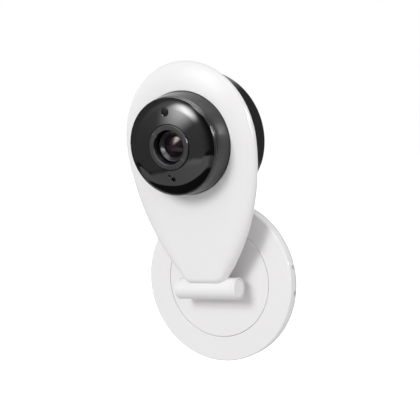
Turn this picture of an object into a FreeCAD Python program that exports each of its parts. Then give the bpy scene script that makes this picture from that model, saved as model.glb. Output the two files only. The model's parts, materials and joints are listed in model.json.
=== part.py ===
import FreeCAD, Part
import math
import os

# Water-drop baby monitor camera on a round wall or table base, in millimetres.
# +Z is up and the camera looks towards -Y.  The origin is the centre of the base's
# back face, which rests on the wall.  The head is drawn upright and then leaned
# forward about the hinge axis by REST_LEAN, the angle it is left at.

V = FreeCAD.Vector
os.makedirs("parts", exist_ok=True)

# ---- driving dimensions -------------------------------------------------------
CLEAR = 0.1                      # gap between plain fitted parts

# base
BASE_R = 39.5                    # outer radius of the base
BASE_THICK = 6.0                 # cover and bottom plate together
PAD_PROUD = 0.6                  # how far the rubber pad stands out
BASE_FRONT = -(PAD_PROUD + BASE_THICK)
BASE_SKIN = 1.6                  # wall of the moulded cover
SEAM_R = 27.35                   # middle of the round gap about the turntable
SEAM_GAP = 0.3
PLATE_FRONT = -2.0               # front face of the bottom plate
PLATE_BACK = -PAD_PROUD
PLATE_SEAM = 0.3                 # gap between cover and bottom plate at the rim
PAD_R = 36.0
PAD_FRONT = -1.0
LEDGE_BACK = -4.45               # back of the ledge that the turntable turns against
LEDGE_R = 31.2
BOSS_PITCH_R = 34.5              # circle of the three base screws
BASE_BOSS_R = 2.2
WEIGHT_IN_R = 31.6
WEIGHT_OUT_R = 37.3

# turntable
DISC_R = SEAM_R - SEAM_GAP / 2
DISC_BACK = -4.6
RETAINER_FRONT = -4.0
RETAINER_BACK = -3.0
RETAINER_IN_R = 16.0
RETAINER_OUT_R = 30.4

# hinge
HINGE_Y = BASE_FRONT - 8.8
HINGE_Z = -2.15
BARREL_R = 5.18
BARREL_HALF = 16.43
PIN_R = 1.5
PIN_RUN = 0.05                   # running clearance of the pin in the knuckle
KNUCKLE_R = 3.3
KNUCKLE_HALF = 6.9
POCKET_R = 3.4
POCKET_HALF = 7.4
SLOT_UP = 43.0                   # slot for the arm, degrees above straight back
SLOT_DOWN = 109.0                # and below straight back
ARM_TOP = 2.3                    # arm's faces, from the hinge axis
ARM_BOTTOM = -0.9
TONGUE_HALF = 5.6
TONGUE_TOP = 17.0
TONGUE_SCREWS = (8.0, 14.0)      # heights of the screws through the tongue
CAP_R = 4.4
CAP_DEEP = 1.6
REST_LEAN = 6.3                  # forward lean of the head at rest, degrees

# head
LENS_Z = 68.97                   # lens axis, with the head upright
MID_Y = BASE_FRONT - 9.36        # plane of the shell's widest outline
DROP_A = 34.9                    # half width of the egg-shaped top
DROP_B = 38.4                    # its half height
DROP_Z = 68.25                   # height of the widest line
TIP_X = 6.6                      # centre of the tip's corner arc
TIP_Z = 6.0
TIP_R = 5.4
FRONT_DEEP = 5.05                # shell's front face ahead of MID_Y
REAR_DEEP = 3.3
TOP_ROUND = 14.0                 # how far in the doming reaches round the top
TIP_ROUND = 3.4                  # and at the tip
SHELL_WALL = 2.0
SPLIT_Y = MID_Y + 1.55           # where the back parts meet the front shell
PLATEAU_Y = MID_Y - FRONT_DEEP
SHELL_IN_Y = PLATEAU_Y + SHELL_WALL
TONGUE_FRONT = MID_Y - 2.4
TONGUE_BACK = MID_Y + 0.6
NECK_SCREW_X = 9.5
NECK_SCREW_Z = 30.0

# front bezel
COLLAR_BACK_R = 24.21
COLLAR_FRONT_R = 22.65
COLLAR_BACK_Y = BASE_FRONT - 14.0
COLLAR_SEAT_Y = BASE_FRONT - 13.7
CLAMP_FRONT = SHELL_IN_Y + 0.55
CLAMP_T = 1.0
BEZEL_Y = BASE_FRONT - 25.25     # front edge of the collar
SPIGOT_R = 22.2
COLLAR_IN_R = 20.9
RING_Y = BASE_FRONT - 28.46      # front of the lens ring
RING_R = 10.42
RING_BORE_R = 7.85
DOME_R = 136.0                   # gentle middle of the domed cover
DOME_MID_R = 17.3                # how far out that middle reaches
DOME_ROLL = 8.67                 # radius of the rolled edge round it
DOME_RIM_R = 20.9                # inner radius of the flat rim that sits on the collar
DOME_T = 1.2
DOME_EDGE_R = COLLAR_FRONT_R - 0.68
DOME_EDGE_Y = BEZEL_Y + 0.1
DOME_TURN = math.asin(DOME_MID_R / DOME_R)
ROLL_CENTRE_R = DOME_MID_R - DOME_ROLL * math.sin(DOME_TURN)
ROLL_CENTRE_Y = DOME_EDGE_Y + math.sqrt(DOME_ROLL ** 2 - (DOME_EDGE_R - ROLL_CENTRE_R) ** 2)
DOME_CENTRE_Y = ROLL_CENTRE_Y + (DOME_R - DOME_ROLL) * math.cos(DOME_TURN)
SENSOR_UP = 16.2                 # light sensor above the lens axis
SENSOR_HOLE_R = 1.9
MIC_DOWN = 15.0                  # microphone below it
MIC_HOLE_R = 0.95
STATUS_X = -1.9                  # pin-hole of the status lamp, beside the microphone
STATUS_UP = 1.8
STATUS_HOLE_R = 0.4

# rear housing
REAR_SEAM_R = 33.4
REAR_R = 32.35
REAR_EDGE_Y = BASE_FRONT + 3.96
REAR_BACK_Y = 0.9
REAR_FLAT_R = 24.0
REAR_FLOOR_Z = 39.6              # flat underside that clears the base
REAR_WALL = 1.8
REAR_IN_Y = REAR_BACK_Y - REAR_WALL
SPEAKER_Z = 56.0
SPEAKER_R = 8.6
GRILLE_HOLE_R = 0.65
GRILLE_RINGS = ((2.6, 6), (5.2, 12))     # radius and count of the holes round the middle one
BUTTON_X = -16.0                 # setup button
BUTTON_Z = 55.0
BUTTON_R = 2.2
BUTTON_TRAVEL = 0.5

# boards and lens stack
LED_BOARD_Y = BASE_FRONT - 21.0  # front faces of the boards
SENSOR_BOARD_Y = BASE_FRONT - 10.4
MAIN_BOARD_Y = BASE_FRONT - 4.6
BOARD_T = 1.2
MAIN_T = 1.6
MAIN_BACK = MAIN_BOARD_Y + MAIN_T
LENS_FRONT = RING_Y + 3.4
LENS_HEAD_R = 7.0                # half of a standard board lens's 14 mm head
THREAD_R = 5.95                  # its 12 mm thread
LENS_BACK = SENSOR_BOARD_Y - 6.4
GLASS_R = 5.0
FILTER_Y = SENSOR_BOARD_Y - 2.9
FILTER_TRAVEL = 7.0              # between the filter's two windows
FILTER_R = 2.7
BOSS_R = 2.5
BOSS_PITCH = 26.4                # housing screws from the lens axis
BOSS_ANGLES = (45, 135, 215, 325)
CARD_ANGLE = 20.0                # card slot, degrees above the lens axis on the +X side
CARD_Y = MAIN_BOARD_Y - 1.0
CARD_SLOT = 12.6                 # width of the slot
CARD_SCOOP = 13.5                # and of the notch in the front shell's edge
USB_Y = MAIN_BOARD_Y - 1.4       # power inlet, on the -X side
USB_Z = 60.0


# ---- helpers ------------------------------------------------------------------
def along_y(radius, y0, y1, x=0.0, z=0.0):
    return Part.makeCylinder(radius, y1 - y0, V(x, y0, z), V(0, 1, 0))


def ring_y(outer, inner, y0, y1, x=0.0, z=0.0):
    return along_y(outer, y0, y1, x, z).cut(along_y(inner, y0 - 1, y1 + 1, x, z))


def along_x(radius, x0, x1, y=HINGE_Y, z=HINGE_Z):
    return Part.makeCylinder(radius, x1 - x0, V(x0, y, z), V(1, 0, 0))


def box(x0, x1, y0, y1, z0, z1):
    return Part.makeBox(x1 - x0, y1 - y0, z1 - z0, V(x0, y0, z0))


def turned(points, z=LENS_Z):
    """Solid of revolution about the Y axis at height z from (radius, y) points."""
    corners = [V(r, y, z) for r, y in points]
    face = Part.Face(Part.makePolygon(corners + corners[:1]))
    return face.revolve(V(0, 0, z), V(0, 1, 0), 360)


def on_circle(radius, angle, z=0.0):
    a = math.radians(angle)
    return radius * math.cos(a), z + radius * math.sin(a)


def group(solids):
    return Part.makeCompound(solids)


def fused(solids):
    shape = solids[0]
    for other in solids[1:]:
        shape = shape.fuse(other)
    return shape.removeSplitter()


def cut_all(shape, tools):
    for tool in tools:
        shape = shape.cut(tool)
    return shape


def rounded(shape, radius, keep):
    """Fillet the edges for which keep(edge) is true."""
    edges = [e for e in shape.Edges if keep(e)]
    return shape.makeFillet(radius, edges)


def screw(x, z, head_y, tip_y, head_r, head_t, shank_r):
    """Screw driven along Y: its head's seat is at head_y and its tip at tip_y."""
    step = head_t if head_y > tip_y else -head_t
    head = along_y(head_r, min(head_y, head_y + step), max(head_y, head_y + step), x, z)
    shank = along_y(shank_r, min(head_y, tip_y), max(head_y, tip_y), x, z)
    drive_y = head_y + step
    slot = box(x - head_r * 0.6, x + head_r * 0.6, drive_y - head_t * 0.4, drive_y + head_t * 0.4,
               z - 0.2, z + 0.2)
    cross = box(x - 0.2, x + 0.2, drive_y - head_t * 0.4, drive_y + head_t * 0.4,
                z - head_r * 0.6, z + head_r * 0.6)
    return cut_all(head.fuse(shank), [slot, cross])


def save(shape, node):
    shape.exportStep("parts/" + node + ".step")


def save_head(shape, node):
    """Lean a head part forward about the hinge axis, then save it."""
    leaned = shape.copy()
    leaned.rotate(V(0, HINGE_Y, HINGE_Z), V(1, 0, 0), REST_LEAN)
    save(leaned, node)


# ---- base ---------------------------------------------------------------------
def base_screw_places():
    return [on_circle(BOSS_PITCH_R, a) for a in (90, 210, 330)]


def base_cover():
    wall_back = PLATE_FRONT - PLATE_SEAM
    inner_r = BASE_R - BASE_SKIN
    hole_r = SEAM_R + SEAM_GAP / 2
    bevel = 0.7
    small = 0.3
    profile = [(hole_r + small, BASE_FRONT), (BASE_R - bevel, BASE_FRONT), (BASE_R, BASE_FRONT + bevel),
               (BASE_R, wall_back), (inner_r, wall_back), (inner_r, BASE_FRONT + BASE_SKIN),
               (LEDGE_R, BASE_FRONT + BASE_SKIN), (LEDGE_R, LEDGE_BACK), (hole_r, LEDGE_BACK),
               (hole_r, BASE_FRONT + small)]
    shell = turned(profile, 0.0)
    skin_back = BASE_FRONT + BASE_SKIN
    bosses = [along_y(BASE_BOSS_R, skin_back - 0.3, PLATE_FRONT - 0.05, x, z) for x, z in base_screw_places()]
    holes = [along_y(0.92, skin_back + 0.4, PLATE_FRONT + 1, x, z) for x, z in base_screw_places()]
    return cut_all(fused([shell] + bosses), holes)


def bottom_plate():
    lip_r = BASE_R - BASE_SKIN - CLEAR
    plate = along_y(BASE_R, PLATE_FRONT, PLATE_BACK)
    lip = ring_y(lip_r, lip_r - 0.4, PLATE_FRONT - 0.8, PLATE_FRONT + 0.2)
    recess = along_y(PAD_R + CLEAR, PAD_FRONT, PLATE_BACK + 1)
    tools = [recess]
    for x, z in base_screw_places():
        tools.append(along_y(1.0, PLATE_FRONT - 1, PLATE_BACK + 1, x, z))
        tools.append(along_y(2.0, PAD_FRONT - 0.55, PLATE_BACK + 1, x, z))
    for angle in (9, -9):
        notch = box(BASE_R - 0.7, BASE_R + 1, PLATE_FRONT - 0.01, PLATE_FRONT + 0.6, -1.1, 1.1)
        notch.rotate(V(0, 0, 0), V(0, 1, 0), angle)
        tools.append(notch)
    return cut_all(fused([plate, lip]), tools)


def steel_weight():
    plate = ring_y(WEIGHT_OUT_R - 0.2, WEIGHT_IN_R, BASE_FRONT + BASE_SKIN + CLEAR, PLATE_FRONT - 0.9)
    return cut_all(plate, [along_y(BASE_BOSS_R + 0.3, -8, 0, x, z) for x, z in base_screw_places()])


def base_screws():
    seat = PAD_FRONT - 0.5
    tip = BASE_FRONT + BASE_SKIN + 0.6
    return group([screw(x, z, seat, tip, 1.8, 0.4, 0.9) for x, z in base_screw_places()])


def rubber_pad():
    return along_y(PAD_R, PAD_FRONT, 0.0)


# ---- turntable ----------------------------------------------------------------
def retainer_screw_places():
    return [on_circle(21.5, a) for a in (30, 150, 270)]


def bracket_screw_places():
    return [(x, z) for x in (-9.2, 9.2) for z in (HINGE_Z - 2.5, HINGE_Z + 4.0)]


def arm_box(grow=0.0):
    """The arm's block from the hinge back to the turntable."""
    return box(-KNUCKLE_HALF - grow, KNUCKLE_HALF + grow, HINGE_Y, DISC_BACK + 0.5,
               HINGE_Z + ARM_BOTTOM - grow, HINGE_Z + ARM_TOP + grow)


def turntable_disc():
    small = 0.3
    profile = [(0, BASE_FRONT), (DISC_R - small, BASE_FRONT), (DISC_R, BASE_FRONT + small),
               (DISC_R, DISC_BACK), (25, DISC_BACK), (25, RETAINER_FRONT), (18, RETAINER_FRONT),
               (18, DISC_BACK), (0, DISC_BACK)]
    disc = turned(profile, 0.0)
    tools = [arm_box(0.05)]
    tools += [along_y(0.82, BASE_FRONT + 0.6, 0, x, z) for x, z in retainer_screw_places()]
    tools += [along_y(0.62, BASE_FRONT + 0.6, 0, x, z) for x, z in bracket_screw_places()]
    return cut_all(disc, tools)


def hinge_bracket():
    """Arm with the hinge knuckle at one end and a foot behind the turntable at the other."""
    foot = box(-11, 11, DISC_BACK + 0.02, DISC_BACK + 1.3, HINGE_Z - 5, HINGE_Z + 6.5)
    foot = rounded(foot, 1.5, lambda e: abs(e.tangentAt(e.FirstParameter).y) > 0.9)
    knuckle = along_x(KNUCKLE_R, -KNUCKLE_HALF, KNUCKLE_HALF)
    tools = [along_x(PIN_R + PIN_RUN, -10, 10)]
    tools += [along_y(0.75, -8, 0, x, z) for x, z in bracket_screw_places()]
    return cut_all(fused([foot, arm_box(), knuckle]), tools)


def bracket_screws():
    seat = DISC_BACK + 1.3
    return group([screw(x, z, seat, BASE_FRONT + 0.9, 1.3, 0.5, 0.6) for x, z in bracket_screw_places()])


def thrust_washer():
    return ring_y(RETAINER_OUT_R - 0.2, SEAM_R + 0.4, LEDGE_BACK + 0.05, RETAINER_FRONT - 0.02)


def retaining_ring():
    ring = ring_y(RETAINER_OUT_R, RETAINER_IN_R, RETAINER_FRONT, RETAINER_BACK)
    return cut_all(ring, [along_y(1.0, -8, 0, x, z) for x, z in retainer_screw_places()])


def retainer_screws():
    return group([screw(x, z, RETAINER_BACK, BASE_FRONT + 0.9, 1.8, 0.7, 0.8)
                  for x, z in retainer_screw_places()])


# ---- hinge parts that turn with the head --------------------------------------
def arm_slot():
    """Sector swept by the arm, from SLOT_DOWN below straight back to SLOT_UP above it."""
    reach = BARREL_R + 2
    axis_point = V(0, HINGE_Y, HINGE_Z)
    corners = [V(-POCKET_HALF, HINGE_Y, HINGE_Z), V(POCKET_HALF, HINGE_Y, HINGE_Z),
               V(POCKET_HALF, HINGE_Y + reach, HINGE_Z), V(-POCKET_HALF, HINGE_Y + reach, HINGE_Z)]
    start = Part.Face(Part.makePolygon(corners + corners[:1]))
    start.rotate(axis_point, V(1, 0, 0), -SLOT_DOWN)
    return start.revolve(axis_point, V(1, 0, 0), SLOT_DOWN + SLOT_UP)


def hinge_barrel():
    """Cross barrel at the drop's tip, slotted at the back for the arm."""
    bevel = 0.35
    half = BARREL_HALF
    corners = [V(-half, HINGE_Y, HINGE_Z), V(-half, HINGE_Y, HINGE_Z + BARREL_R - bevel),
               V(-half + bevel, HINGE_Y, HINGE_Z + BARREL_R), V(half - bevel, HINGE_Y, HINGE_Z + BARREL_R),
               V(half, HINGE_Y, HINGE_Z + BARREL_R - bevel), V(half, HINGE_Y, HINGE_Z)]
    face = Part.Face(Part.makePolygon(corners + corners[:1]))
    body = face.revolve(V(0, HINGE_Y, HINGE_Z), V(1, 0, 0), 360)
    tongue = tongue_box(0.0)
    pocket = along_x(POCKET_R, -POCKET_HALF, POCKET_HALF)
    tools = [arm_slot(), pocket, along_x(PIN_R, -BARREL_HALF, BARREL_HALF)]
    for side in (-1, 1):
        x0 = BARREL_HALF - CAP_DEEP
        tools.append(along_x(CAP_R + 0.12, min(side * x0, side * 20), max(side * x0, side * 20)))
    tools += [along_y(0.85, -40, 0, 0, z) for z in TONGUE_SCREWS]
    return cut_all(fused([body, tongue]), tools)


def tongue_box(grow):
    """Flat tongue that stands up from the barrel inside the neck."""
    return box(-TONGUE_HALF - grow, TONGUE_HALF + grow, TONGUE_FRONT - grow, TONGUE_BACK + grow,
               HINGE_Z + 3.5, TONGUE_TOP + grow)


def barrel_caps():
    caps = []
    for side in (-1, 1):
        inner = side * (BARREL_HALF - CAP_DEEP)
        outer = side * (BARREL_HALF - 0.1)
        caps.append(along_x(CAP_R, min(inner, outer), max(inner, outer)))
    return group(caps)


def hinge_pin():
    length = BARREL_HALF - CAP_DEEP - 0.1
    return along_x(PIN_R, -length, length)


def hinge_washers():
    washers = []
    for side in (-1, 1):
        x0 = KNUCKLE_HALF + 0.04
        x1 = POCKET_HALF - 0.04
        disc = along_x(KNUCKLE_R - 0.2, min(side * x0, side * x1), max(side * x0, side * x1))
        washers.append(disc.cut(along_x(PIN_R + 0.05, -20, 20)))
    return group(washers)


# ---- head shells --------------------------------------------------------------
def drop_wire(y, top_in, tip_in):
    """Egg-topped drop outline at depth y, drawn in from the widest outline."""
    a = DROP_A - top_in
    b = DROP_B - top_in
    r = TIP_R - tip_in
    rise = TIP_Z - DROP_Z
    u = TIP_X - a
    side_r = (r * r - u * u - rise * rise) / (2 * (u + r))
    side_x = a - side_r
    end = math.atan2(rise, TIP_X - side_x)
    crown = Part.Ellipse(V(0, y, DROP_Z + b), V(a, y, DROP_Z), V(0, y, DROP_Z))
    edges = [Part.ArcOfEllipse(crown, -math.pi / 2, math.pi / 2).toShape()]

    def side_point(angle):
        return V(side_x + side_r * math.cos(angle), y, DROP_Z + side_r * math.sin(angle))

    def tip_point(angle):
        return V(TIP_X + r * math.cos(angle), y, TIP_Z + r * math.sin(angle))

    middle = (end - math.pi / 2) / 2
    right = [(side_point(0), side_point(end / 2), side_point(end)),
             (tip_point(end), tip_point(middle), tip_point(-math.pi / 2))]
    edges += [Part.Arc(*three).toShape() for three in right]
    bottom = tip_point(-math.pi / 2)
    edges.append(Part.LineSegment(bottom, V(-bottom.x, y, bottom.z)).toShape())
    for three in reversed(right):
        mirrored = [V(-p.x, p.y, p.z) for p in reversed(three)]
        edges.append(Part.Arc(*mirrored).toShape())
    return Part.Wire(edges)


def drop_solid(inset=0.0, front_cut=0.0, rear_cut=0.0):
    """The domed drop: an elliptical edge that rises to a flat front and back."""
    wires = []
    for step in range(-3, 4):
        t = math.radians(30 * step)
        deep = FRONT_DEEP - front_cut if t < 0 else REAR_DEEP - rear_cut
        k = 1 - math.cos(t)
        wires.append(drop_wire(MID_Y + deep * math.sin(t), inset + (TOP_ROUND - inset) * k,
                               inset + TIP_ROUND * k * (1 - inset / TIP_R)))
    return Part.makeLoft(wires, True, False)


def housing_screw_places():
    return [on_circle(BOSS_PITCH, a, LENS_Z) for a in BOSS_ANGLES]


def card_tool(width, y0, y1, r0, r1):
    """Box along the card's own direction, standing r0 to r1 from the lens axis."""
    tool = box(r0, r1, y0, y1, LENS_Z - width / 2, LENS_Z + width / 2)
    tool.rotate(V(0, 0, LENS_Z), V(0, 1, 0), -CARD_ANGLE)
    return tool


def front_shell(outer, inner):
    shell = outer.cut(inner)
    shell = shell.common(box(-60, 60, -40, SPLIT_Y - 0.05, -10, 120))
    places = housing_screw_places()
    neck_xs = (-NECK_SCREW_X, NECK_SCREW_X)
    bosses = [along_y(BOSS_R, SHELL_IN_Y - 0.4, MAIN_BOARD_Y - 0.05, x, z) for x, z in places]
    bosses = [boss.common(outer) for boss in bosses]
    bosses += [along_y(2.0, SHELL_IN_Y - 0.4, MID_Y + 0.4, x, NECK_SCREW_Z) for x in neck_xs]
    pad = box(-TONGUE_HALF, TONGUE_HALF, SHELL_IN_Y - 0.4, TONGUE_FRONT - 0.02, 5.0, TONGUE_TOP)
    tools = [along_y(0.92, SHELL_IN_Y + 1.5, 10, x, z) for x, z in places]
    tools += [along_y(0.82, SHELL_IN_Y + 0.6, 10, x, NECK_SCREW_Z) for x in neck_xs]
    tools += [along_y(0.82, PLATEAU_Y + 0.8, 10, 0, z) for z in TONGUE_SCREWS]
    tools += [along_y(SPIGOT_R + CLEAR, -40, 0, 0, LENS_Z),
              along_y(COLLAR_BACK_R + 0.12, -40, COLLAR_SEAT_Y, 0, LENS_Z),
              along_x(BARREL_R + 0.04, -30, 30), tongue_box(0.05),
              card_tool(CARD_SCOOP, SPLIT_Y - 0.9, SPLIT_Y + 2, 30.5, 40)]
    return cut_all(fused([shell, pad] + bosses), tools)


def neck_cover(outer, inner):
    """Back of the drop below the round rear housing."""
    back = outer.cut(inner).common(box(-60, 60, SPLIT_Y + 0.05, 10, -10, REAR_FLOOR_Z - 0.15))
    lugs = [along_y(2.6, MID_Y + 0.5, MID_Y + REAR_DEEP - 0.3, x, NECK_SCREW_Z)
            for x in (-NECK_SCREW_X, NECK_SCREW_X)]
    tools = [along_x(BARREL_R + 0.06, -30, 30)]
    for x in (-NECK_SCREW_X, NECK_SCREW_X):
        tools.append(along_y(1.0, -20, 10, x, NECK_SCREW_Z))
        tools.append(along_y(1.9, MID_Y + 2.4, 10, x, NECK_SCREW_Z))
    arm_swing = along_x(BARREL_R + 0.5, -POCKET_HALF, POCKET_HALF)
    return cut_all(fused([back] + lugs), tools + [arm_swing])


def neck_screws():
    seat = MID_Y + 2.4
    tip = SHELL_IN_Y + 1.0
    return group([screw(x, NECK_SCREW_Z, seat, tip, 1.7, 0.7, 0.8) for x in (-NECK_SCREW_X, NECK_SCREW_X)])


def tongue_screws():
    return group([screw(0, z, TONGUE_BACK, PLATEAU_Y + 1.0, 1.7, 0.7, 0.8) for z in TONGUE_SCREWS])


def rear_profile(inset):
    """Half section of the round rear housing, front edge to back, as (radius, y)."""
    start = SPLIT_Y + 0.05
    if inset:
        start -= 1
    points = [(0, start), (REAR_SEAM_R - inset, start), (REAR_R - inset, REAR_EDGE_Y)]
    steps = 8
    for i in range(1, steps + 1):
        t = math.radians(90 * i / steps)
        points.append((REAR_FLAT_R + (REAR_R - inset - REAR_FLAT_R) * math.cos(t),
                       REAR_EDGE_Y + (REAR_BACK_Y - inset - REAR_EDGE_Y) * math.sin(t)))
    points.append((0, REAR_BACK_Y - inset))
    return points


def speaker_grille(y0, y1):
    holes = [along_y(GRILLE_HOLE_R, y0, y1, 0, SPEAKER_Z)]
    for ring, count in GRILLE_RINGS:
        for i in range(count):
            x, z = on_circle(ring, 360 * i / count, SPEAKER_Z)
            holes.append(along_y(GRILLE_HOLE_R, y0, y1, x, z))
    return holes


def rear_cover():
    outer = turned(rear_profile(0.0))
    inner = turned(rear_profile(REAR_WALL))
    outer = outer.common(box(-60, 60, -40, 10, REAR_FLOOR_Z, 120))
    inner = inner.common(box(-60, 60, -40, 10, REAR_FLOOR_Z + REAR_WALL, 120))
    shell = outer.cut(inner)
    posts = [along_y(BOSS_R, MAIN_BOARD_Y + MAIN_T + 0.05, REAR_IN_Y + 0.3, x, z) for x, z in housing_screw_places()]
    guide = along_y(3.4, REAR_IN_Y - 2.2, REAR_IN_Y + 0.3, BUTTON_X, BUTTON_Z)
    tools = [along_y(1.1, -30, 10, x, z) for x, z in housing_screw_places()]
    tools += [along_y(2.1, REAR_BACK_Y - 2.6, 10, x, z) for x, z in housing_screw_places()]
    tools += speaker_grille(REAR_IN_Y - 1, REAR_BACK_Y + 1)
    tools.append(along_y(BUTTON_R + 0.08, -30, 10, BUTTON_X, BUTTON_Z))
    tools.append(card_tool(CARD_SLOT, CARD_Y - 0.8, CARD_Y + 0.8, 25, 40))
    tools.append(box(-40, -25, USB_Y - 1.75, USB_Y + 1.75, USB_Z - 4.1, USB_Z + 4.1))
    return cut_all(fused([shell] + posts + [guide]), tools)


def housing_screws():
    seat = REAR_BACK_Y - 2.6
    tip = SHELL_IN_Y + 2.2
    return group([screw(x, z, seat, tip, 1.9, 1.2, 0.9) for x, z in housing_screw_places()])


# ---- front bezel --------------------------------------------------------------
def front_collar():
    groove_y = BEZEL_Y + 1.25
    taper = (COLLAR_BACK_R - COLLAR_FRONT_R) / (COLLAR_BACK_Y - BEZEL_Y)
    seat_y = DOME_EDGE_Y + DOME_T + 0.03

    def wall(y):
        return COLLAR_FRONT_R + (y - BEZEL_Y) * taper

    profile = [(COLLAR_FRONT_R - 0.45, BEZEL_Y), (COLLAR_FRONT_R, BEZEL_Y + 0.35),
               (wall(groove_y - 0.15), groove_y - 0.15), (wall(groove_y) - 0.25, groove_y),
               (wall(groove_y + 0.15), groove_y + 0.15), (COLLAR_BACK_R, COLLAR_BACK_Y),
               (COLLAR_BACK_R, COLLAR_SEAT_Y - 0.02), (SPIGOT_R, COLLAR_SEAT_Y - 0.02),
               (SPIGOT_R, CLAMP_FRONT), (COLLAR_IN_R - 1.2, CLAMP_FRONT),
               (COLLAR_IN_R - 1.2, LED_BOARD_Y + BOARD_T + 0.05), (COLLAR_IN_R, LED_BOARD_Y + BOARD_T + 0.05),
               (COLLAR_IN_R, seat_y), (COLLAR_FRONT_R - 0.6, seat_y), (COLLAR_FRONT_R - 0.6, BEZEL_Y)]
    ring = turned(profile)
    return cut_all(ring, [along_y(0.72, PLATEAU_Y - 1.5, 0, x, z) for x, z in collar_screw_places()])


def collar_screw_places():
    return [on_circle(20.9, a, LENS_Z) for a in (0, 90, 180, 270)]


def collar_clamp():
    """Ring that pulls the collar against the shell from inside."""
    ring = ring_y(23.6, 19.0, CLAMP_FRONT + 0.02, CLAMP_FRONT + CLAMP_T, 0, LENS_Z)
    return cut_all(ring, [along_y(0.85, -40, 0, x, z) for x, z in collar_screw_places()])


def collar_screws():
    seat = CLAMP_FRONT + CLAMP_T
    return group([screw(x, z, seat, PLATEAU_Y - 1.2, 1.4, 0.5, 0.7) for x, z in collar_screw_places()])


def dome_turn_r(outer=True):
    """Radius at which the domed cover's middle meets its rolled edge."""
    return DOME_MID_R if outer else (DOME_R - DOME_T) * math.sin(DOME_TURN)


def dome_y(r, outer=True):
    """Front face of the domed cover at radius r, or its back face."""
    skin = 0.0 if outer else DOME_T
    if r <= dome_turn_r(outer):
        return DOME_CENTRE_Y - math.sqrt((DOME_R - skin) ** 2 - r ** 2)
    return ROLL_CENTRE_Y - math.sqrt((DOME_ROLL - skin) ** 2 - (r - ROLL_CENTRE_R) ** 2)


def dome_arc(r_start, r_end, outer):
    """Arc of the domed cover's section between two radii."""
    radii = (r_start, (r_start + r_end) / 2, r_end)
    return Part.Arc(*[V(r, dome_y(r, outer), LENS_Z) for r in radii]).toShape()


def domed_skin(r_in):
    """The domed cover's section turned about the lens axis: middle, rolled edge and flat rim."""
    rim_y = DOME_EDGE_Y + DOME_T
    corners = [V(DOME_EDGE_R, DOME_EDGE_Y, LENS_Z), V(DOME_EDGE_R, rim_y, LENS_Z),
               V(DOME_RIM_R, rim_y, LENS_Z), V(DOME_RIM_R, dome_y(DOME_RIM_R, False), LENS_Z)]
    edges = [dome_arc(r_in, dome_turn_r(), True), dome_arc(dome_turn_r(), DOME_EDGE_R, True)]
    edges += [Part.LineSegment(*pair).toShape() for pair in zip(corners, corners[1:])]
    edges += [dome_arc(DOME_RIM_R, dome_turn_r(False), False), dome_arc(dome_turn_r(False), r_in, False)]
    bore = Part.LineSegment(V(r_in, dome_y(r_in, False), LENS_Z), V(r_in, dome_y(r_in), LENS_Z))
    face = Part.Face(Part.Wire(edges + [bore.toShape()]))
    return face.revolve(V(0, 0, LENS_Z), V(0, 1, 0), 360)


def front_cover():
    tools = [along_y(SENSOR_HOLE_R, -60, 0, 0, LENS_Z + SENSOR_UP),
             along_y(MIC_HOLE_R, -60, 0, 0, LENS_Z - MIC_DOWN),
             along_y(STATUS_HOLE_R, -60, 0, STATUS_X, LENS_Z - MIC_DOWN + STATUS_UP)]
    return cut_all(domed_skin(RING_R + 0.05), tools)


def sensor_window():
    front = dome_y(SENSOR_UP) + 0.35
    return along_y(SENSOR_HOLE_R - 0.05, front, front + 1.2, 0, LENS_Z + SENSOR_UP)


def lens_ring():
    """Stepped ring about the lens: a flat annulus, then a deep bore."""
    back = LED_BOARD_Y - 0.2
    profile = [(RING_BORE_R + 0.25, RING_Y), (RING_R - 0.3, RING_Y), (RING_R, RING_Y + 0.3),
               (RING_R, RING_Y + 2.0), (RING_R + 0.9, RING_Y + 2.0), (RING_R + 0.9, RING_Y + 2.8),
               (9.6, RING_Y + 2.8), (9.6, back), (RING_BORE_R + 0.75, back),
               (RING_BORE_R, RING_Y + 3.6), (RING_BORE_R, RING_Y + 0.25)]
    return turned(profile)


# ---- lens and image sensor ----------------------------------------------------
def lens_barrel():
    head_back = LENS_FRONT + 4.6
    profile = [(5.2, LENS_FRONT), (LENS_HEAD_R - 0.3, LENS_FRONT), (LENS_HEAD_R, LENS_FRONT + 0.3),
               (LENS_HEAD_R, head_back), (THREAD_R, head_back), (THREAD_R, LENS_BACK),
               (3.2, LENS_BACK), (3.2, LENS_FRONT + 6.0), (5.05, LENS_FRONT + 4.0), (5.05, LENS_FRONT + 0.8)]
    return turned(profile)


def lens_glass():
    """Front element, domed towards the scene."""
    edge = LENS_FRONT + 2.3
    bulge = 1.5
    thick = 1.5
    top = V(0, edge - bulge, LENS_Z)
    corner = V(GLASS_R, edge, LENS_Z)
    front = Part.Arc(top, V(2.6, edge - 1.13, LENS_Z), corner).toShape()
    rim = Part.LineSegment(corner, V(GLASS_R, edge + thick, LENS_Z)).toShape()
    back = Part.LineSegment(V(GLASS_R, edge + thick, LENS_Z), V(0, edge + thick, LENS_Z)).toShape()
    axis = Part.LineSegment(V(0, edge + thick, LENS_Z), top).toShape()
    face = Part.Face(Part.Wire([front, rim, back, axis]))
    return face.revolve(V(0, 0, LENS_Z), V(0, 1, 0), 360)


def rear_element():
    return along_y(3.15, LENS_BACK - 2.2, LENS_BACK - 0.4, 0, LENS_Z)


def lens_holder():
    back = SENSOR_BOARD_Y - 4.6
    tube = ring_y(THREAD_R + 1.6, THREAD_R + 0.02, back - 5.4, back, 0, LENS_Z)
    base = box(-9, 9, back - 1.8, back, LENS_Z - 9, LENS_Z + 9)
    base = base.cut(along_y(THREAD_R + 0.02, back - 3, back + 1, 0, LENS_Z))
    return fused([tube, base])


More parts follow.
